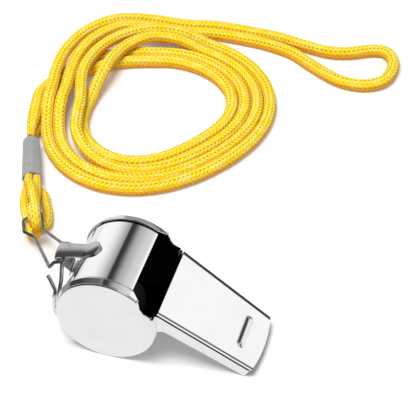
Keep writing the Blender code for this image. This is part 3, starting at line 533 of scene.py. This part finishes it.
ring_finish = wire_finish("ring_steel", (0.55, 0.55, 0.56, 1), (0.86, 0.86, 0.87, 1), 0.07, 0.16)
degrees = np.arange(0, RING_SWEEP, 3)
share = np.clip((degrees - RING_JOG) / RING_JOG_SPAN, 0, 1)
angle = np.radians(degrees + RING_START)
turns = np.stack([RING_PITCH * (share * share * (3 - 2 * share) - 0.5), RING_RADIUS * np.cos(angle),
                  RING_RADIUS * np.sin(angle) - RING_RADIUS], axis=1)
ring_path = np.vstack([smooth_route(np.vstack([RING_SPRUNG, turns[:12:4]]), 0.3 * MM)[:-1],
                       turns[8:]]) + RING_PIVOT
drawn_wire("ring_wire", ring_path, RING_WIRE, ring_finish, "split_ring", "split_ring", count=24)

# Lug. A narrow strap of the same plate, narrowed to a waist, folded into a loop behind the barrel and
# soldered to it above and below, so that the ring and the clip hang in the loop.
BARREL_RADIUS = 10.5 * MM
DISC_RADIUS = 10.9 * MM
SEAM = 0.3 * MM
LUG_SHEET = 0.5 * MM
LUG_HALF_WIDTH, LUG_WAIST = 1.95 * MM, 1.7 * MM
LUG_FOLD = (-16.1 * MM, -2.85 * MM)
LUG_CROWN, LUG_FLATS = 0.42 * MM, 9
LUG_TOP, LUG_FOOT = (56, 74), (108, 124)
WAIST_PLACE, WAIST_LENGTH = 3.6 * MM, 1.6 * MM
LUG_BLUNT = 0.15 * MM
TIP_X = 30.3 * MM
FLOOR_ROOT, FLOOR_TIP = 5.8 * MM, 6.75 * MM
TILT = math.atan2(FLOOR_TIP, TIP_X) + math.asin(DISC_RADIUS / math.hypot(TIP_X, FLOOR_TIP))
CHEEK_ROOT, CHEEK_TIP = 9.3 * MM, 7.65 * MM
WINDOW_FRONT = 7.0 * MM
TOP_HEIGHT = 9.8 * MM
SHEET = 0.65 * MM
FLOOR_SLOPE = (FLOOR_TIP - FLOOR_ROOT) / (TIP_X - BARREL_RADIUS)
CHEEK_SLOPE = (CHEEK_ROOT - CHEEK_TIP) / (TIP_X - WINDOW_FRONT)
INSIDE_RADIUS, INSIDE_SIDE = 10.17 * MM, 10.36 * MM
INSIDE_FRONT, INSIDE_TOP, INSIDE_MARGIN = 7.25 * MM, 9.45 * MM, 0.3 * MM
CORNER_FORWARD, CORNER_UPWARD = (5.5 * MM, 2.1 * MM), (8.77 * MM, 0.47 * MM)
CORNER_RADIUS, CORNER_SIDE = 10.95 * MM, 9.2 * MM


def stand(points):
    """Whistle's own frame, with x to the mouthpiece and z to the window, tipped nose down about the barrel's
    axis."""
    x, y, z = np.moveaxis(np.asarray(points, float), -1, 0)
    return np.stack([x * math.cos(TILT) + z * math.sin(TILT) + axis_x, y,
                     z * math.cos(TILT) - x * math.sin(TILT) + axis_height], axis=-1)


def arc(radius, start, end, count, centre=(0, 0)):
    """Circle in x and z; its angles in degrees run from the top backwards."""
    angles = np.radians(np.linspace(start, end, count))
    return np.stack([centre[0] - radius * np.sin(angles), centre[1] + radius * np.cos(angles)], axis=1)


def sheet_section(half, low, high, edge, flats=2):
    """Section of a sheet: two faces at two levels, each cut into flats, and rounded edges, at each point's
    own half width."""
    half, low, high = (np.asarray(v, float)[..., None] for v in np.broadcast_arrays(half, low, high))
    edge = np.minimum(edge, (high - low) / 2)
    bend = np.radians([0, 22.5, 45, 67.5, 90])
    inset = edge * (1 - np.sin(bend))
    drop = edge * (1 - np.cos(bend))
    across = (half - edge * 1.5) * np.linspace(0, 1, flats)[1:]
    side = np.concatenate([across, half - inset, half - inset[..., ::-1], across[..., ::-1]], axis=-1)
    level = np.concatenate([high + 0 * across, high - drop, low + drop[..., ::-1], low + 0 * across], axis=-1)
    return np.stack([np.concatenate([side, -side[..., ::-1]], axis=-1),
                     np.concatenate([level, level[..., ::-1]], axis=-1)], axis=-1)


def crowned(section, half, crown):
    """The section bowed towards its near edge: it drops with the square of the share of the way there."""
    share = np.clip((0.4 - section[..., 0] / np.maximum(np.asarray(half)[..., None], 1e-6)) / 1.4, 0, 1)
    return np.stack([section[..., 0], section[..., 1] - crown * share ** 2], axis=-1)


def new_group(name, inputs, outputs):
    """Empty shader group with named sockets; gives the tree, its input node's outputs and its output node."""
    tree = bpy.data.node_groups.new(name, "ShaderNodeTree")
    for title, kind in inputs:
        tree.interface.new_socket(name=title, in_out="INPUT", socket_type="NodeSocket" + kind)
    for title, kind in outputs:
        tree.interface.new_socket(name=title, in_out="OUTPUT", socket_type="NodeSocket" + kind)
    return tree, tree.nodes.new("NodeGroupInput").outputs, tree.nodes.new("NodeGroupOutput")


marks, given, result = new_group("polish_marks", [("Vector", "Vector"), ("Size", "Float")],
                                 [("Smudge", "Float"), ("Scratch", "Float")])
smudge = grain(marks, given["Vector"], given["Size"], 3.0, 0.55)
turned_place = add(marks, "Mapping", {"Vector": given["Vector"], "Rotation": (0.3, 0.5, 0.7),
                                      "Scale": (1.0, 26.0, 26.0)}).outputs[0]
fine = grain(marks, turned_place, sum_up(marks, "MULTIPLY", given["Size"], 1.6), 2.0, 0.5)
marks.links.new(spread(marks, smudge, 0.35, 0.75), result.inputs["Smudge"])
marks.links.new(spread(marks, fine, 0.60, 0.72), result.inputs["Scratch"])

# Mask of the plate inside the body: the chamber, the windway between the sheets and a corner beside the
# window. There the plate is made rough and its colour is painted near black, as the shade inside the body.
inside, given, result = new_group("inside_of_body", [("Vector", "Vector")], [("Inside", "Float")])
from_axis = add(inside, "VectorMath", {0: given["Vector"], 1: (axis_x, 0, axis_height)},
                operation="SUBTRACT").outputs[0]
forward = add(inside, "VectorMath", {0: from_axis, 1: (math.cos(TILT), 0, -math.sin(TILT))},
              operation="DOT_PRODUCT").outputs["Value"]
upward = add(inside, "VectorMath", {0: from_axis, 1: (math.sin(TILT), 0, math.cos(TILT))},
             operation="DOT_PRODUCT").outputs["Value"]
sideways = sum_up(inside, "ABSOLUTE", add(inside, "SeparateXYZ", {0: given["Vector"]}).outputs[1])
radius = sum_up(inside, "SQRT", sum_up(inside, "ADD", sum_up(inside, "MULTIPLY", forward, forward),
                                       sum_up(inside, "MULTIPLY", upward, upward)))
chamber = all_of(inside, sum_up(inside, "LESS_THAN", radius, INSIDE_RADIUS),
                 sum_up(inside, "LESS_THAN", sideways, INSIDE_SIDE))
over_floor = sum_up(inside, "MULTIPLY_ADD", forward, -FLOOR_SLOPE, upward)
floor_level = FLOOR_ROOT - BARREL_RADIUS * FLOOR_SLOPE + INSIDE_MARGIN
over_cheek = sum_up(inside, "MULTIPLY_ADD", forward, CHEEK_SLOPE, sideways)
cheek_level = CHEEK_ROOT + WINDOW_FRONT * CHEEK_SLOPE - INSIDE_MARGIN
windway = all_of(inside, sum_up(inside, "GREATER_THAN", forward, INSIDE_FRONT),
                 sum_up(inside, "LESS_THAN", upward, INSIDE_TOP),
                 sum_up(inside, "GREATER_THAN", over_floor, floor_level),
                 sum_up(inside, "LESS_THAN", over_cheek, cheek_level))
on_dish = sum_up(inside, "LESS_THAN", radius, CORNER_RADIUS)
corner_side = sum_up(inside, "MULTIPLY_ADD", on_dish, INSIDE_SIDE - CORNER_SIDE, CORNER_SIDE)
corner = all_of(inside, sum_up(inside, "COMPARE", forward, *CORNER_FORWARD),
                sum_up(inside, "COMPARE", upward, *CORNER_UPWARD),
                sum_up(inside, "LESS_THAN", sideways, corner_side))
anywhere = sum_up(inside, "MAXIMUM", corner, sum_up(inside, "MAXIMUM", chamber, windway))
inside.links.new(anywhere, result.inputs["Inside"])

polished_plate, tree, shader = new_material("polished_plate")
place = add(tree, "TexCoord").outputs["Object"]
wear = add(tree, "Group", {"Vector": place, "Size": 130.0}, node_tree=marks)
# Painted shade: inside the body the plate's colour is near black; its roughness also rises there.
dull_and_shaded = add(tree, "Group", {"Vector": place}, node_tree=inside).outputs["Inside"]
smudged = tint(tree, wear.outputs["Smudge"], (0.935, 0.935, 0.94, 1), (0.90, 0.90, 0.905, 1))
colour = tint(tree, dull_and_shaded, smudged, (0.012, 0.012, 0.012, 1))
shine = spread(tree, wear.outputs["Smudge"], 0.0, 1.0, 0.045, 0.085)
roughness = add(tree, "Mix", {0: dull_and_shaded, 2: shine, 3: 0.65}, data_type="FLOAT").outputs[0]
bump = add(tree, "Bump", {"Strength": 0.06, "Distance": 0.01 * MM,
                          "Height": wear.outputs["Scratch"]}).outputs[0]
connect(tree, shader, Base_Color=colour, Metallic=1.0, Roughness=roughness, Normal=bump)

# The lug's plate: the same metal made rougher, with its colour cut to about half the polished plate's as
# painted shade.
shaded_satin_plate, tree, shader = new_material("shaded_satin_plate")
place = add(tree, "TexCoord").outputs["Object"]
wear = add(tree, "Group", {"Vector": place, "Size": 260.0}, node_tree=marks)
colour = tint(tree, wear.outputs["Smudge"], (0.55, 0.55, 0.555, 1), (0.47, 0.47, 0.475, 1))
bump = add(tree, "Bump", {"Strength": 0.1, "Distance": 0.01 * MM,
                          "Height": wear.outputs["Scratch"]}).outputs[0]
connect(tree, shader, Base_Color=colour, Metallic=1.0, Roughness=spread(tree, wear.outputs["Smudge"], 0.0,
                                                                        1.0, 0.16, 0.24), Normal=bump)

seat = BARREL_RADIUS + SEAM + LUG_SHEET / 2
top, foot = arc(seat, *LUG_TOP, 14), arc(seat, *LUG_FOOT, 10)
middle = rounded([top[-3], top[-1], LUG_FOLD, foot[0], foot[2]], (2.5 * MM, 1.0 * MM, 0.7 * MM), 14)
lug_path = np.vstack([top[:-3], middle, foot[3:]])
lug_path = np.stack([lug_path[:, 0], np.zeros(len(lug_path)), lug_path[:, 1]], axis=1)
run = travelled(lug_path)
full = LUG_HALF_WIDTH - (LUG_HALF_WIDTH - LUG_WAIST) * np.exp(-((run - WAIST_PLACE) / WAIST_LENGTH) ** 2)
to_end = np.minimum(run, run[-1] - run) + LUG_BLUNT
half = np.where(to_end < full, np.sqrt(np.maximum(full ** 2 - (full - np.minimum(to_end, full)) ** 2, 0)),
                full)
section = crowned(sheet_section(half, -LUG_SHEET / 2, LUG_SHEET / 2, 0.14 * MM, LUG_FLATS), half, LUG_CROWN)
grid = stand(carry(lug_path, (0, 1, 0), section))
to_piece("lug_strap", grid, closed_faces(*grid.shape[:2]), shaded_satin_plate, "whistle", "lug")

# Barrel strip. One sheet of plated brass rolled round into the chamber and bent out again as the mouthpiece's
# floor. Its free edge over the chamber is bevelled from inside to the thin lip that the air strikes.
FILLET_RADIUS = 1.8 * MM
LIP_EDGE, LIP_BEVEL = 0.2 * MM, 1.6 * MM
STRIP_HALF = 8.35 * MM


def floor_line(x):
    """Underside of the mouthpiece."""
    return FLOOR_ROOT + FLOOR_SLOPE * (x - BARREL_RADIUS)


def strip_half(x):
    """Half width of a strip between the cheeks."""
    between = CHEEK_ROOT - CHEEK_SLOPE * (x - WINDOW_FRONT) - SHEET * math.hypot(1, CHEEK_SLOPE) - SEAM
    return np.minimum(STRIP_HALF, between)


bend_x = BARREL_RADIUS
for _ in range(60):
    bend_z = floor_line(bend_x) - FILLET_RADIUS * math.hypot(1, FLOOR_SLOPE)
    bend_x = math.sqrt((BARREL_RADIUS + FILLET_RADIUS) ** 2 - bend_z ** 2)
leave = 360 - math.degrees(math.atan2(bend_x, bend_z))
strip = np.vstack([arc(BARREL_RADIUS, 0, leave, 260),
                   arc(FILLET_RADIUS, leave - 180, math.degrees(math.atan(FLOOR_SLOPE)), 24,
                       (bend_x, bend_z))[1:]])
level = np.linspace(strip[-1, 0], TIP_X, 14)[1:]
strip = np.vstack([strip, np.stack([level, floor_line(level)], axis=1)])
strip_path = np.stack([strip[:, 0], np.zeros(len(strip)), strip[:, 1]], axis=1)
half = np.where((strip[:, 0] > 0) & (strip[:, 1] > 0), strip_half(strip[:, 0]), STRIP_HALF)
thick = np.minimum(SHEET, LIP_EDGE + (SHEET - LIP_EDGE) * travelled(strip_path) / LIP_BEVEL)
grid = stand(carry(strip_path, (0, 1, 0), sheet_section(half, -thick, 0, 0.1 * MM)))
to_piece("barrel_sheet", grid, closed_faces(*grid.shape[:2]), polished_plate, "whistle", "barrel_strip")

# Side plates. Each is stamped from one sheet: a dish whose flat disc stands proud, with a rolled, slightly
# conical rim, and a flat cheek along the mouthpiece. A notch beside the window cuts the rim down. The strip
# and the top plate are soldered between the two.
BODY_HALF = 10.5 * MM
RIM_WIDTH = 1.8 * MM
RIM_ROUND = 0.35 * MM
RIM_LEAN = 0.45 * MM           # the rim is pressed a little conical, so that it leaves the die
LEAN_FROM, LEAN_SPAN = 215, 40
RIM_TAPER, NOTCH_END = 2.4 * MM, 38.5
CUT_SPAN = 0.15 * MM           # over which the rim turns from folded to cut
PLATE_ROLL = 0.14 * MM
CHEEK_TOP = TOP_HEIGHT - SHEET - SEAM
NOTCH = ((1.6, 12.0), (1.6, 10.9), (3.5, 8.9), (4.6, 8.4), (6.0, 8.55), (7.8, 8.9))

notch = rounded(NOTCH, (0.3, 1.0, 1.0, 0.8), 12) * MM
notch_angle, notch_out = np.arctan2(notch[:, 0], notch[:, 1]), np.hypot(notch[:, 0], notch[:, 1])
order = np.argsort(notch_angle)


def dish(side):
    """Dish turned about the barrel's axis: flat face, rolled edge, rim and the same back again inside. The
    radius is the disc's, or less where the notch comes nearer to the axis. The rim leans in by its cone, and
    in the notch it is only as deep as the sheet."""
    angles = np.radians(np.concatenate([np.arange(0, 38, 0.4), np.arange(38, 360, 1.3)]))
    reach = np.interp(angles, notch_angle[order], notch_out[order], left=1.0, right=1.0)
    edge = np.minimum(DISC_RADIUS, reach)
    cut = np.clip((DISC_RADIUS - edge) / CUT_SPAN, 0, 1)
    turn = np.degrees(angles)
    beside = np.clip(angles * DISC_RADIUS / RIM_TAPER, 0, 1) * (turn < NOTCH_END)
    deep = RIM_WIDTH + (SHEET + 0.02 * MM - RIM_WIDTH) * np.maximum(cut, beside)
    roll = np.radians(np.linspace(0, 90, 7))
    round_off = RIM_ROUND + (PLATE_ROLL - RIM_ROUND) * cut
    share = np.where(turn < NOTCH_END, 1.0, np.clip((turn - LEAN_FROM) / LEAN_SPAN, 0, 1)) * (1 - cut)
    lean = RIM_LEAN * share * share * (3 - 2 * share)
    rows = [(out - lean, 0 * edge) for out in (1.0 * MM, edge * 0.6, edge - RIM_ROUND * 1.8,
                                               edge - RIM_ROUND * 1.2)]
    rows += [(edge - lean - round_off * (1 - math.sin(a)), round_off * (1 - math.cos(a))) for a in roll]
    crest = np.minimum(deep - PLATE_ROLL, round_off + 0.05 * MM)
    for part in np.linspace(0, 1, 7):
        down = crest + (deep - PLATE_ROLL - crest) * part
        rise = np.clip((down - crest) / (RIM_WIDTH - PLATE_ROLL - crest), 0, 1)
        rows.append((edge - lean * (1 - rise), down))
    end, back = rows[-1][0], SHEET + 0 * edge
    rows += [(end - 0.03 * MM, deep - 0.05 * MM), (end - 0.12 * MM, deep), (end - SHEET + 0.12 * MM, deep),
             (end - SHEET + 0.03 * MM, deep - 0.01 * MM),
             (end - SHEET, np.maximum(deep - 0.12 * MM, SHEET + 0.005 * MM)),
             (end - SHEET, back + 0.002 * MM), (end - SHEET - 0.1 * MM, back), (edge * 0.5, back),
             (0.5 * MM + 0 * edge, back)]
    out = np.array([row[0] for row in rows])
    down = np.array([row[1] for row in rows])
    return stand(turned(BODY_HALF - down, out, angles, (0, 0, 0), (0, side, 0), (0, 0, 1), (1, 0, 0)))


def cheek(side):
    """Cheek: a patch blended between its four edges, the disc's circle, the tip and two long edges, laid on
    the tapered side of the mouthpiece; walled gives it the sheet's thickness afterwards."""
    seat = DISC_RADIUS - SHEET / 2
    away = math.hypot(bend_x, bend_z)
    meet = math.acos((away ** 2 + seat ** 2 - FILLET_RADIUS ** 2) / (2 * away * seat))
    low = math.degrees(math.atan2(bend_x, bend_z) - meet)
    rear = arc(seat, -low, -NOTCH_END, 40)
    first = math.degrees(math.atan2(rear[0, 0] - bend_x, rear[0, 1] - bend_z))
    under = np.vstack([arc(FILLET_RADIUS, -first, math.degrees(math.atan(FLOOR_SLOPE)), 20, (bend_x, bend_z)),
                       (TIP_X, floor_line(TIP_X))])
    steps = travelled(under)
    u = np.linspace(0, 1, 90)
    under = np.stack([np.interp(u * steps[-1], steps, under[:, i]) for i in (0, 1)], axis=1)[:, None]
    over = np.vstack([rear[-1], (WINDOW_FRONT, CHEEK_TOP - 0.3 * MM), (WINDOW_FRONT + 0.4 * MM, CHEEK_TOP),
                      (TIP_X, CHEEK_TOP)])
    over_steps = travelled(over)
    over = np.stack([np.interp(u * over_steps[-1], over_steps, over[:, i]) for i in (0, 1)], axis=1)[:, None]
    rear = rear[None]
    v = np.linspace(0, 1, 40)[None, :, None]
    u = u[:, None, None]
    front = under[-1:] * (1 - v) + over[-1:] * v
    corners = ((1 - u) * (1 - v) * under[:1] + u * (1 - v) * under[-1:] + (1 - u) * v * over[:1]
               + u * v * over[-1:])
    flat = (1 - v) * under + v * over + (1 - u) * rear + u * front - corners
    face = CHEEK_ROOT - CHEEK_SLOPE * (flat[..., 0] - WINDOW_FRONT)
    return np.stack([flat[..., 0], side * face, flat[..., 1]], axis=-1)


def walled(name, grid, thickness, edge, segments=3):
    """A thin sheet from an open grid: solid walls behind it, edges rolled off, settled into one mesh."""
    rows, columns = grid.shape[:2]
    row, column = np.mgrid[0:rows - 1, 0:columns - 1]
    quads = np.stack([row * columns + column, row * columns + column + 1, (row + 1) * columns + column + 1,
                      (row + 1) * columns + column],
                     axis=-1).reshape(-1, 4)
    mesh = bpy.data.meshes.new(name)
    mesh.from_pydata(grid.reshape(-1, 3).tolist(), [], quads.tolist())
    rough = bpy.data.objects.new(name, mesh)
    bpy.context.scene.collection.objects.link(rough)
    wall = rough.modifiers.new("wall", "SOLIDIFY")
    wall.thickness, wall.offset, wall.use_even_offset = thickness, -1.0, True
    roll = rough.modifiers.new("roll", "BEVEL")
    roll.width, roll.segments, roll.limit_method, roll.angle_limit = edge, segments, "ANGLE", math.radians(50)
    bpy.context.view_layer.update()
    settled = bpy.data.meshes.new_from_object(rough.evaluated_get(bpy.context.evaluated_depsgraph_get()))
    points = np.empty(len(settled.vertices) * 3)
    settled.vertices.foreach_get("co", points)
    faces = [list(face.vertices) for face in settled.polygons]
    bpy.data.objects.remove(rough, do_unlink=True)
    return points.reshape(-1, 3), faces


for name, node, side in (("left_plate_sheet", "left_side_plate", -1),
                         ("right_plate_sheet", "right_side_plate", 1)):
    plate = dish(side)
    patch = stand(cheek(side))
    points, faces = walled(name, patch if side > 0 else patch[:, ::-1], SHEET, PLATE_ROLL)
    count = plate.shape[0] * plate.shape[1]
    joined = np.vstack([plate.reshape(-1, 3), points])
    to_piece(name, joined,
             closed_faces(*plate.shape[:2]) + [[index + count for index in face] for face in faces],
             polished_plate, "whistle", node)

# Top plate. A flat plate soldered over the mouthpiece, flush with the cheeks and bowed a little at the front.
# Its long edges are pressed down a little, and a rib is pressed up across it for the teeth to hold.
TIP_BULGE = 0.9 * MM
RIB_X, RIB_LENGTH = 26.0 * MM, 8.6 * MM
RIB_HALF, RIB_HEIGHT = 0.95 * MM, 0.45 * MM
EDGE_SLOPE, NEAR_BAND, FAR_BAND = 0.215, 0.5 * MM, 1.0 * MM
TOP_ROLL, TOP_SEGMENTS = 0.2 * MM, 4

u = np.linspace(0, 1, 150)[:, None]
v = np.linspace(-1, 1, 110)[None]
bow = (CHEEK_TIP ** 2 + TIP_BULGE ** 2) / (2 * TIP_BULGE)
front = TIP_X + TIP_BULGE - bow + np.sqrt(bow ** 2 - (v * CHEEK_TIP) ** 2)
x = WINDOW_FRONT + u * (front - WINDOW_FRONT)
y = v * (CHEEK_ROOT - CHEEK_SLOPE * np.minimum(x - WINDOW_FRONT, TIP_X - WINDOW_FRONT))
beyond = np.hypot(x - RIB_X, np.maximum(np.abs(y) - (RIB_LENGTH / 2 - RIB_HALF), 0)) / RIB_HALF
rise = RIB_HEIGHT * np.clip((1 - beyond) / 0.8, 0, 1)
band = np.where(y > 0, FAR_BAND, NEAR_BAND)
rise -= EDGE_SLOPE * band * np.clip(1 - (np.abs(y[:, -1:]) - np.abs(y)) / band, 0, 1)
top_face = stand(np.stack([x, y, TOP_HEIGHT + rise], axis=-1))[:, ::-1]
points, faces = walled("top", top_face, SHEET, TOP_ROLL, TOP_SEGMENTS)
to_piece("top_sheet", points, faces, polished_plate, "whistle", "mouthpiece_top")

# Windway floor. An inner sheet, a shelf under the top plate that guides the breath to the lip, folded down to
# close the chamber's front. It is left unpolished, and like the rest of the body's inside its colour is
# painted near black as shade.
WINDWAY_SHEET, WINDWAY_HEIGHT, WINDWAY_LENGTH = 0.5 * MM, 1.4 * MM, 14.0 * MM

shelf = TOP_HEIGHT - SHEET - WINDWAY_HEIGHT
face = BARREL_RADIUS - SHEET
back, reach, away = face + WINDWAY_SHEET, FILLET_RADIUS + SHEET + SEAM, math.hypot(bend_x, bend_z)
low = math.degrees(math.atan2(bend_x,
                              bend_z) - math.acos((away ** 2 + back ** 2 - reach ** 2) / (2 * away * back)))
fold = math.degrees(math.acos(shelf / face))
wall = arc(face, -low, -fold, 22)
shelf_path = np.vstack([wall[:8], rounded([wall[7], wall[-1], (wall[-1][0] + WINDWAY_LENGTH, shelf)],
                                          (0.75 * MM,), 10)[1:]])
shelf_path = np.stack([shelf_path[:, 0], np.zeros(len(shelf_path)), shelf_path[:, 1]], axis=1)
grid = stand(carry(shelf_path, (0, 1, 0), sheet_section(strip_half(shelf_path[:, 0]), 0, WINDWAY_SHEET,
                                                        0.08 * MM)))
to_piece("windway_sheet", grid, closed_faces(*grid.shape[:2]), polished_plate, "whistle", "windway_floor")

# Pea. A ball of pressed cork, loose in the chamber; it rolls at the bottom and breaks the note into a trill.
PEA_RADIUS = 5.2 * MM
PEA_PLAY = 0.3 * MM

cork, tree, shader = new_material("cork")
place = add(tree, "TexCoord").outputs["Object"]
crumbs = add(tree, "TexVoronoi", {"Vector": place, "Scale": 900.0}).outputs["Distance"]
patches = grain(tree, place, 500.0, 4.0, 0.6)
# Painted shade: the cork is coloured a near black grey, far darker than cork, as the shade it lies in inside
# the chamber. The patches and dark crumb pits are the cork's own grain.
colour = tint(tree, spread(tree, patches, 0.3, 0.7), (0.036, 0.034, 0.033, 1), (0.060, 0.057, 0.055, 1))
colour = tint(tree, spread(tree, crumbs, 0.0, 0.25, 0.8, 0.0), colour, (0.010, 0.008, 0.006, 1))
bump = add(tree, "Bump", {"Strength": 0.8, "Distance": 0.15 * MM, "Height": crumbs}).outputs[0]
connect(tree, shader, Base_Color=colour, Roughness=spread(tree, patches, 0.2, 0.8, 0.75, 0.92), Normal=bump)
height = np.radians(np.linspace(2, 178, 64))
angles = np.linspace(0, 2 * math.pi, 96, endpoint=False)
pits = 1 + 0.012 * np.sin(5 * angles[None] + 3 * height[:,
                                                        None]) * np.sin(7 * height[:,
                                                                                   None] - 2 * angles[None])
out = PEA_RADIUS * np.sin(height)[:, None] * pits
pea_centre = (axis_x, 0, axis_height - (BARREL_RADIUS - SHEET - PEA_RADIUS - PEA_PLAY))
grid = turned(PEA_RADIUS * np.cos(height)[:, None] * pits, out, angles, pea_centre, (0, 0, 1), (1, 0, 0),
              (0, 1, 0))
to_piece("cork_ball", grid, closed_faces(*grid.shape[:2]), cork, "pea", "pea", sharp=180)

# Ground and light. A plain white sweep, one soft lamp overhead and soft light all round. The polished metal
# alone mirrors the studio: white walls, a soft dark flag overhead, the dark side of the room behind the
# camera with a few white cards in it, and dark patches on the sweep.
FLOOR_HALF = 3.0
floor_mesh = bpy.data.meshes.new("floor")
floor_mesh.from_pydata([(-FLOOR_HALF, -FLOOR_HALF, 0), (FLOOR_HALF, -FLOOR_HALF, 0),
                        (FLOOR_HALF, FLOOR_HALF, 0), (-FLOOR_HALF, FLOOR_HALF, 0)],
                       [], [(0, 1, 2, 3)])
floor = bpy.data.objects.new("floor", floor_mesh)
bpy.context.scene.collection.objects.link(floor)
floor_paper, tree, shader = new_material("floor_paper")
floor_mesh.materials.append(floor_paper)
tree.nodes.remove(shader)
paper = add(tree, "BsdfDiffuse", {"Color": (0.88, 0.88, 0.88, 1)}).outputs[0]
path_kind = add(tree, "LightPath").outputs
seen = sum_up(tree, "MAXIMUM", path_kind["Is Camera Ray"], path_kind["Is Transmission Ray"])
lift = add(tree, "Emission", {"Color": (1, 1, 1, 1), "Strength": sum_up(tree, "MULTIPLY", seen,
                                                                        0.11)}).outputs[0]
across, back, _ = add(tree, "SeparateXYZ", {0: add(tree, "TexCoord").outputs["Object"]}).outputs
mirror_only = all_of(tree, path_kind["Is Glossy Ray"], sum_up(tree, "LESS_THAN", path_kind["Diffuse Depth"],
                                                              0.5))
far_back = all_of(tree, spread(tree, back, 0.04, 0.06), spread(tree, across, 0.0, 0.03))
far_front = spread(tree, back, -0.3, -0.12, 1.0, 0.0)
slanting = sum_up(tree, "MULTIPLY_ADD", across, 0.7, back)
near_left = all_of(tree, spread(tree, across, -0.05, -0.036, 0.85, 0.0),
                   spread(tree, slanting, -0.022, -0.008, 1.0, 0.0))
dark_floor = sum_up(tree, "MAXIMUM", sum_up(tree, "MAXIMUM", far_back, far_front), near_left)
sweep = tint(tree, dark_floor, (0.86, 0.86, 0.86, 1), (0.06, 0.06, 0.06, 1))
bounced = add(tree, "Emission", {"Color": sweep, "Strength": 1.0}).outputs[0]
evened = add(tree, "MixShader", {0: sum_up(tree, "MULTIPLY", mirror_only, 0.85), 1: paper,
                                 2: bounced}).outputs[0]
both = add(tree, "AddShader", {0: evened, 1: lift}).outputs[0]
tree.links.new(both, tree.nodes["Material Output"].inputs["Surface"])

STUDIO = ((-180, 1.0), (-62, 1.0), (-52, 0.98), (-44, 0.88), (-36, 0.73), (-28, 0.55), (-21, 0.39),
          (-18, 0.32), (-16, 0.05),
          (-12, 0.035), (-6, 0.06), (1, 0.24), (7, 0.42), (18, 0.55), (27, 0.66), (36, 0.70), (41, 0.74),
          (43.5, 0.93), (45, 1.0), (180, 1.0))
world = bpy.data.worlds.new("studio")
bpy.context.scene.world = world
world.use_nodes = True
tree = world.node_tree
facing = add(tree, "TexCoord").outputs["Generated"]
east, north, above = add(tree, "SeparateXYZ", {0: facing}).outputs
swing = sum_up(tree, "ARCTAN2", east, above)
ramp = add(tree, "ValToRGB", {0: sum_up(tree, "MULTIPLY_ADD", swing, 0.5 / math.pi, 0.5)})
while len(ramp.color_ramp.elements) < len(STUDIO):
    ramp.color_ramp.elements.new(0.5)
for element in ramp.color_ramp.elements:
    element.position = 0
for element, (degrees, value) in reversed(list(zip(ramp.color_ramp.elements, STUDIO))):
    element.position = degrees / 360 + 0.5
    element.color = (value, value, value, 1)
window_wall = all_of(tree, spread(tree, east, 0.15, 0.35), spread(tree, east, 0.55, 0.65, 1.0, 0.0),
                     spread(tree, above, 0.5, 0.65))
low_right = all_of(tree, spread(tree, east, 0.4, 0.55), spread(tree, above, 0.25, 0.35, 1.0, 0.0))
rim_light = all_of(tree, spread(tree, north, 0.18, 0.28, 1.0, 0.0), spread(tree, north, -0.15, -0.03),
                   spread(tree, east, -0.4, -0.25), spread(tree, above, 0.4, 0.5))
bright_front = sum_up(tree, "MAXIMUM", rim_light, sum_up(tree, "MAXIMUM", window_wall, low_right))
in_front = all_of(tree, spread(tree, north, 0.35, 0.6, 1.0, 0.0), sum_up(tree, "SUBTRACT", 1.0, bright_front))
front_level = tint(tree, spread(tree, above, 0.4, 0.9), (0.05, 0.05, 0.05, 1), (0.14, 0.14, 0.14, 1))
back_level = tint(tree, spread(tree, east, 0.15, 0.3), (0.32, 0.32, 0.32, 1), (0.06, 0.06, 0.06, 1))
room = tint(tree, in_front, ramp.outputs[0], front_level)
room = tint(tree, spread(tree, north, 0.76, 0.84), room, back_level)
path_kind = add(tree, "LightPath").outputs
mirrored = all_of(tree, path_kind["Is Glossy Ray"], sum_up(tree, "LESS_THAN", path_kind["Diffuse Depth"],
                                                           0.5))
soft = tint(tree, path_kind["Is Camera Ray"], (0.36, 0.36, 0.36, 1), (1, 1, 1, 1))
light = tint(tree, mirrored, soft, room)
background = tree.nodes["Background"]
tree.links.new(light, background.inputs["Color"])
background.inputs["Strength"].default_value = 1.0


def lamp(name, place, aim, size, power):
    """Square area lamp turned to a point, left out of mirror reflections."""
    data = bpy.data.lights.new(name, "AREA")
    data.size, data.energy = size, power
    lit = bpy.data.objects.new(name, data)
    back = np.array(place, float) - np.array(aim, float)
    back /= np.linalg.norm(back)
    side = np.cross((0, 1, 0), back)
    side /= np.linalg.norm(side)
    up = np.cross(back, side)
    lit.matrix_world = Matrix([[side[i], up[i], back[i], place[i]] for i in range(3)] + [[0, 0, 0, 1]])
    lit.visible_glossy = False
    bpy.context.scene.collection.objects.link(lit)


lamp("key", (-0.12, -0.16, 0.82), (-0.01, 0.04, 0.0), 0.4, 6.2)

bpy.context.scene.view_settings.view_transform = "Standard"
bpy.context.view_layer.update()
